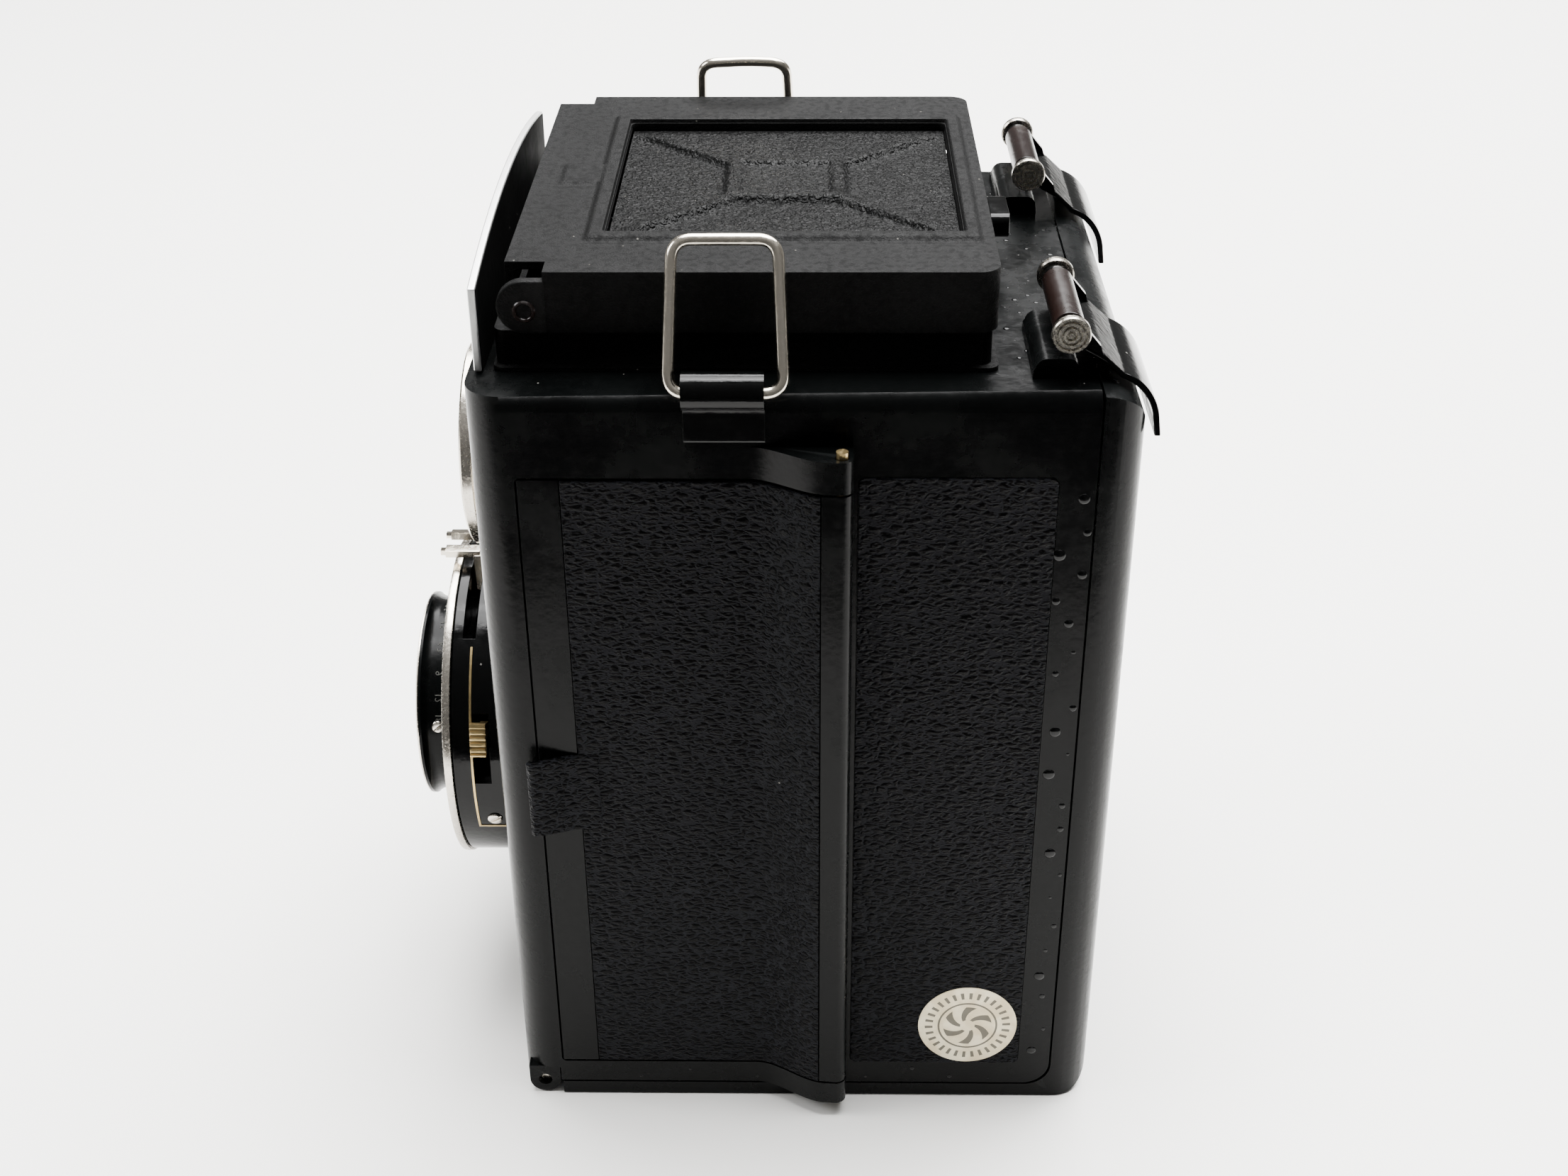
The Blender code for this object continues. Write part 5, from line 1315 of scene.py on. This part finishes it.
def blister_tree():
    """Scatter small paint domes on a strip: count, size range and seed are inputs."""
    tree = bpy.data.node_groups.new("paint_blisters", "GeometryNodeTree")
    tree.interface.new_socket("Geometry", in_out="INPUT", socket_type="NodeSocketGeometry")
    for label, value in (("Spacing", 3.2), ("Smallest", 0.25), ("Largest", 0.75)):
        socket = tree.interface.new_socket(label, in_out="INPUT", socket_type="NodeSocketFloat")
        socket.default_value = value
    seed = tree.interface.new_socket("Seed", in_out="INPUT", socket_type="NodeSocketInt")
    seed.default_value = 3
    tree.interface.new_socket("Geometry", in_out="OUTPUT", socket_type="NodeSocketGeometry")
    start = tree.nodes.new("NodeGroupInput")
    end = tree.nodes.new("NodeGroupOutput")
    spread = tree.nodes.new("GeometryNodeDistributePointsOnFaces")
    spread.distribute_method = "POISSON"
    spread.inputs["Density Max"].default_value = 400000.0
    dome = tree.nodes.new("GeometryNodeMeshUVSphere")
    dome.inputs["Segments"].default_value = 12
    dome.inputs["Rings"].default_value = 8
    dome.inputs["Radius"].default_value = MM
    flat = tree.nodes.new("GeometryNodeTransform")
    flat.inputs["Scale"].default_value = (1.0, 1.0, 0.28)
    size = tree.nodes.new("FunctionNodeRandomValue")
    instances = tree.nodes.new("GeometryNodeInstanceOnPoints")
    realize = tree.nodes.new("GeometryNodeRealizeInstances")
    paint = tree.nodes.new("GeometryNodeSetMaterial")
    paint.inputs["Material"].default_value = GLOSS
    link = tree.links.new
    scale = tree.nodes.new("ShaderNodeMath")
    scale.operation = "MULTIPLY"
    scale.inputs[1].default_value = MM
    link(start.outputs["Spacing"], scale.inputs[0])
    link(scale.outputs[0], spread.inputs["Distance Min"])
    link(start.outputs["Geometry"], spread.inputs["Mesh"])
    link(start.outputs["Seed"], spread.inputs["Seed"])
    link(dome.outputs["Mesh"], flat.inputs["Geometry"])
    link(start.outputs["Smallest"], size.inputs[2])
    link(start.outputs["Largest"], size.inputs[3])
    link(start.outputs["Seed"], size.inputs["Seed"])
    link(spread.outputs["Points"], instances.inputs["Points"])
    link(spread.outputs["Rotation"], instances.inputs["Rotation"])
    link(flat.outputs["Geometry"], instances.inputs["Instance"])
    link(size.outputs[1], instances.inputs["Scale"])
    link(instances.outputs["Instances"], realize.inputs["Geometry"])
    link(realize.outputs["Geometry"], paint.inputs["Geometry"])
    link(paint.outputs["Geometry"], end.inputs["Geometry"])
    return tree


def strip_mesh(corners):
    bm = bmesh.new()
    bm.faces.new([bm.verts.new(corner) for corner in corners])
    return bm


def make_blisters(name, corners, tree, body, spacing, smallest, largest, seed):
    """Blisters scattered over a flat strip given by its corners, counter-clockwise from outside."""
    bm = strip_mesh(corners)
    bmesh.ops.scale(bm, vec=(MM, MM, MM), verts=bm.verts)
    mesh = bpy.data.meshes.new(name)
    bm.to_mesh(mesh)
    bm.free()
    item = bpy.data.objects.new(name, mesh)
    bpy.context.scene.collection.objects.link(item)
    step = item.modifiers.new("scatter", "NODES")
    step.node_group = tree
    values = {"Spacing": spacing, "Smallest": smallest, "Largest": largest, "Seed": seed}
    for socket in tree.interface.items_tree:
        if socket.in_out == "INPUT" and socket.name in values:
            step[socket.identifier] = values[socket.name]
    baked(item)
    item.data.shade_smooth()
    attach(item, body)
    return item


def make_all_blisters():
    tree = blister_tree()
    x = HALF + 0.0
    make_blisters("blisters_side_left", [(x, 33.0, 7.0), (x, 36.6, 8.0), (x, 36.6, 106.0), (x, 33.0, 106.0)],
                  tree, "camera_body", 4.0, 0.2, 0.9, 5)
    make_blisters("blisters_foot_left", [(x, -30.0, 3.4), (x, 30.0, 3.4), (x, 30.0, 6.2), (x, -30.0, 6.2)],
                  tree, "camera_body", 5.5, 0.1, 0.4, 2)
    make_blisters("blisters_deck", [(-33.0, 26.0, DECK_TOP), (33.0, 26.0, DECK_TOP), (33.0, 36.0, DECK_TOP),
                                    (-33.0, 36.0, DECK_TOP)], tree, "camera_body", 2.4, 0.1, 0.5, 9)


def make_controls():
    """Film advance lever and frame counter on the user's right."""
    spot = pivot_mm("advance_lever_turn")
    y, z = spot.y, spot.z
    profile = [(0.0, -46.6), (3.2, -46.6), (3.6, -46.3), (5.6, -46.2), (6.0, -45.8), (6.0, -44.1)]
    boss = turned(profile + [(2.5, -44.1), (2.5, -40.2), (0.0, -40.2)], (y, z), "X", 64)
    arm = prism(rounded(y - 2.6, z - 24.0, y + 2.6, z, 2.4), -45.9, -44.5, "X")
    profile = [(0.0, -49.6), (2.2, -49.6), (2.7, -49.1), (2.7, -47.0), (1.7, -46.2), (1.7, -45.0)]
    profile += [(0.0, -45.0)]
    knob = turned(profile, (y, z - 20.6), "X", 40)
    item = solid("advance_handle", boss, [arm, knob], (), edge=0.15, segments=2)
    finish_piece(item, NICKEL, "advance_lever", ("advance_lever",))
    spot = pivot_mm("counter_dial_spin")
    y, z = spot.y, spot.z
    profile = [(0.0, -45.5), (6.3, -45.5), (6.6, -45.35), (7.4, -45.3), (7.8, -45.0)]
    profile += [(7.8, -44.1), (2.5, -44.1)]
    profile += [(2.5, -40.2), (0.0, -40.2)]
    teeth = []
    for k in range(36):
        turn = radians(10 * k)
        spot2 = (y + 7.95 * cos(turn), z + 7.95 * sin(turn))
        teeth.append(rod(0.28, -46.0, -43.5, spot2, "X", 8))
    wheel = turned(profile, (y, z), "X", 72)
    item = solid("counter_wheel", wheel, (), [joined(teeth)], edge=0.06, segments=1)
    finish_piece(item, NICKEL, "counter_dial", ("counter_dial",))
    for number in range(1, 13):
        turn = radians(90 - 30 * (number - 1))
        make_dial_number(number, y - 5.0 * cos(turn), z + 5.0 * sin(turn))


def joined(shapes):
    whole = bmesh.new()
    for shape in shapes:
        mesh = bpy.data.meshes.new("part")
        shape.to_mesh(mesh)
        shape.free()
        whole.from_mesh(mesh)
        bpy.data.meshes.remove(mesh)
    return whole


def make_dial_number(number, y, z):
    """A number of the frame counter, on the dial's outer face."""
    def on_dial(across, up, out):
        return Vector((-45.52 - out, y - across, z + up))

    shape = number_shape(f"count_{number}", str(number), 1.7, on_dial, "CENTER")
    item = raw_object(f"count_{number:02d}", shape)
    return finish_piece(item, DULL, "counter_dial", ())


def dress_plain_nodes():
    """Materials for the CAD pieces that are shown as they are."""
    finishes = {
        "film_chamber": DULL, "film_gate": NICKEL, "reflex_mirror": SILVER, "focusing_screen": GROUND,
        "hood_wing_left": DULL, "hood_wing_right": DULL, "hood_back_flap": DULL,
        "magnifier_frame": NICKEL, "magnifier_glass": GLASS, "pressure_plate": DULL,
        "film_spool_left": SPOOL, "film_spool_right": SPOOL,
        "guide_roller_left": NICKEL, "guide_roller_right": NICKEL,
        "spool_door_pin_left": BRASS, "spool_door_pin_right": BRASS,
        "back_hinge_pin": NICKEL, "tripod_bush": NICKEL, "focus_lever": NICKEL,
    }
    for name, finish in finishes.items():
        item = frame["nodes"][name]
        item.data.materials.clear()
        item.data.materials.append(finish)


# ---------------------------------------------------------------- stage

DARK_CARDS = (
    ("floor_card", [(190, -1500, 0.5), (2500, -1500, 0.5), (2500, 1500, 0.5), (190, 1500, 0.5)]),
    ("wall_card", [(330, -1500, 0.5), (330, 1500, 0.5), (330, 1500, 900), (330, -1500, 900)]),
)


def plain_material(name, colour, rough):
    """An even finish of one colour, for the stage."""
    made, _, shader, _ = new_material(name)
    shader.inputs["Base Color"].default_value = colour
    shader.inputs["Roughness"].default_value = rough
    return made


def make_stage():
    bpy.ops.mesh.primitive_plane_add(size=6.0, location=(0.0, 0.0, -0.0002))
    floor = bpy.context.object
    floor.name = "studio_floor"
    floor.data.materials.append(plain_material("pale_floor", (0.91, 0.9, 0.87, 1.0), 0.6))
    card = plain_material("dark_card", (0.012, 0.012, 0.012, 1.0), 0.8)
    for name, corners in DARK_CARDS:
        board = raw_object(name, strip_mesh(corners))
        board.data.materials.append(card)
    world = bpy.data.worlds.new("studio_world")
    bpy.context.scene.world = world
    world.use_nodes = True
    world.node_tree.nodes["Background"].inputs[0].default_value = (1.0, 0.99, 0.97, 1.0)
    world.node_tree.nodes["Background"].inputs[1].default_value = 0.22
    for name, spot, target, size, power in (
        ("key_light", (-0.55, 0.2, 1.15), (-0.15, 0.0, 0.0), (1.3, 1.3), 105.0),
        ("top_light", (0.02, 0.0, 1.35), (0.02, 0.0, 0.0), (0.4, 0.9), 26.0),
        ("front_light", (0.05, -1.1, 0.8), (0.0, 0.0, 0.06), (0.5, 0.6), 14.0),
        ("side_light", (0.6, -0.7, 0.75), (0.0, 0.0, 0.05), (0.3, 0.5), 5.0),
    ):
        light = bpy.data.lights.new(name, "AREA")
        light.shape = "RECTANGLE"
        light.size, light.size_y = size
        light.energy = power
        holder = bpy.data.objects.new(name, light)
        holder.location = spot
        holder.rotation_euler = (Vector(target) - Vector(spot)).to_track_quat("-Z", "Y").to_euler()
        bpy.context.scene.collection.objects.link(holder)


def make_camera():
    camera = bpy.data.cameras.new("studio_camera")
    camera.lens = 46.15
    camera.sensor_width = 36.0
    holder = bpy.data.objects.new("studio_camera", camera)
    right = Vector((-0.01424, 0.99988, -0.00558))
    up = Vector((-0.51131, -0.00248, 0.85940))
    back = Vector((0.85928, 0.01509, 0.51128))
    turn = Matrix((right, up, back)).transposed()
    holder.matrix_world = Matrix.Translation((0.27347, 0.00081, 0.22885)) @ turn.to_4x4()
    bpy.context.scene.collection.objects.link(holder)
    bpy.context.scene.camera = holder


make_camera()
make_stage()
make_casing()
make_back_door()
make_hood_base()
make_hood_lid()
make_latch_button()
make_fascia()
make_shutter()
make_glass_and_viewing_lens()
make_label()
make_all_blisters()
make_controls()
for side, suffix in ((1, "left"), (-1, "right")):
    make_side_leather(side, suffix)
    make_spool_door(side, suffix)
    make_latch(side, suffix)
    make_lug(side, suffix)
    make_loop(side, suffix)
dress_plain_nodes()
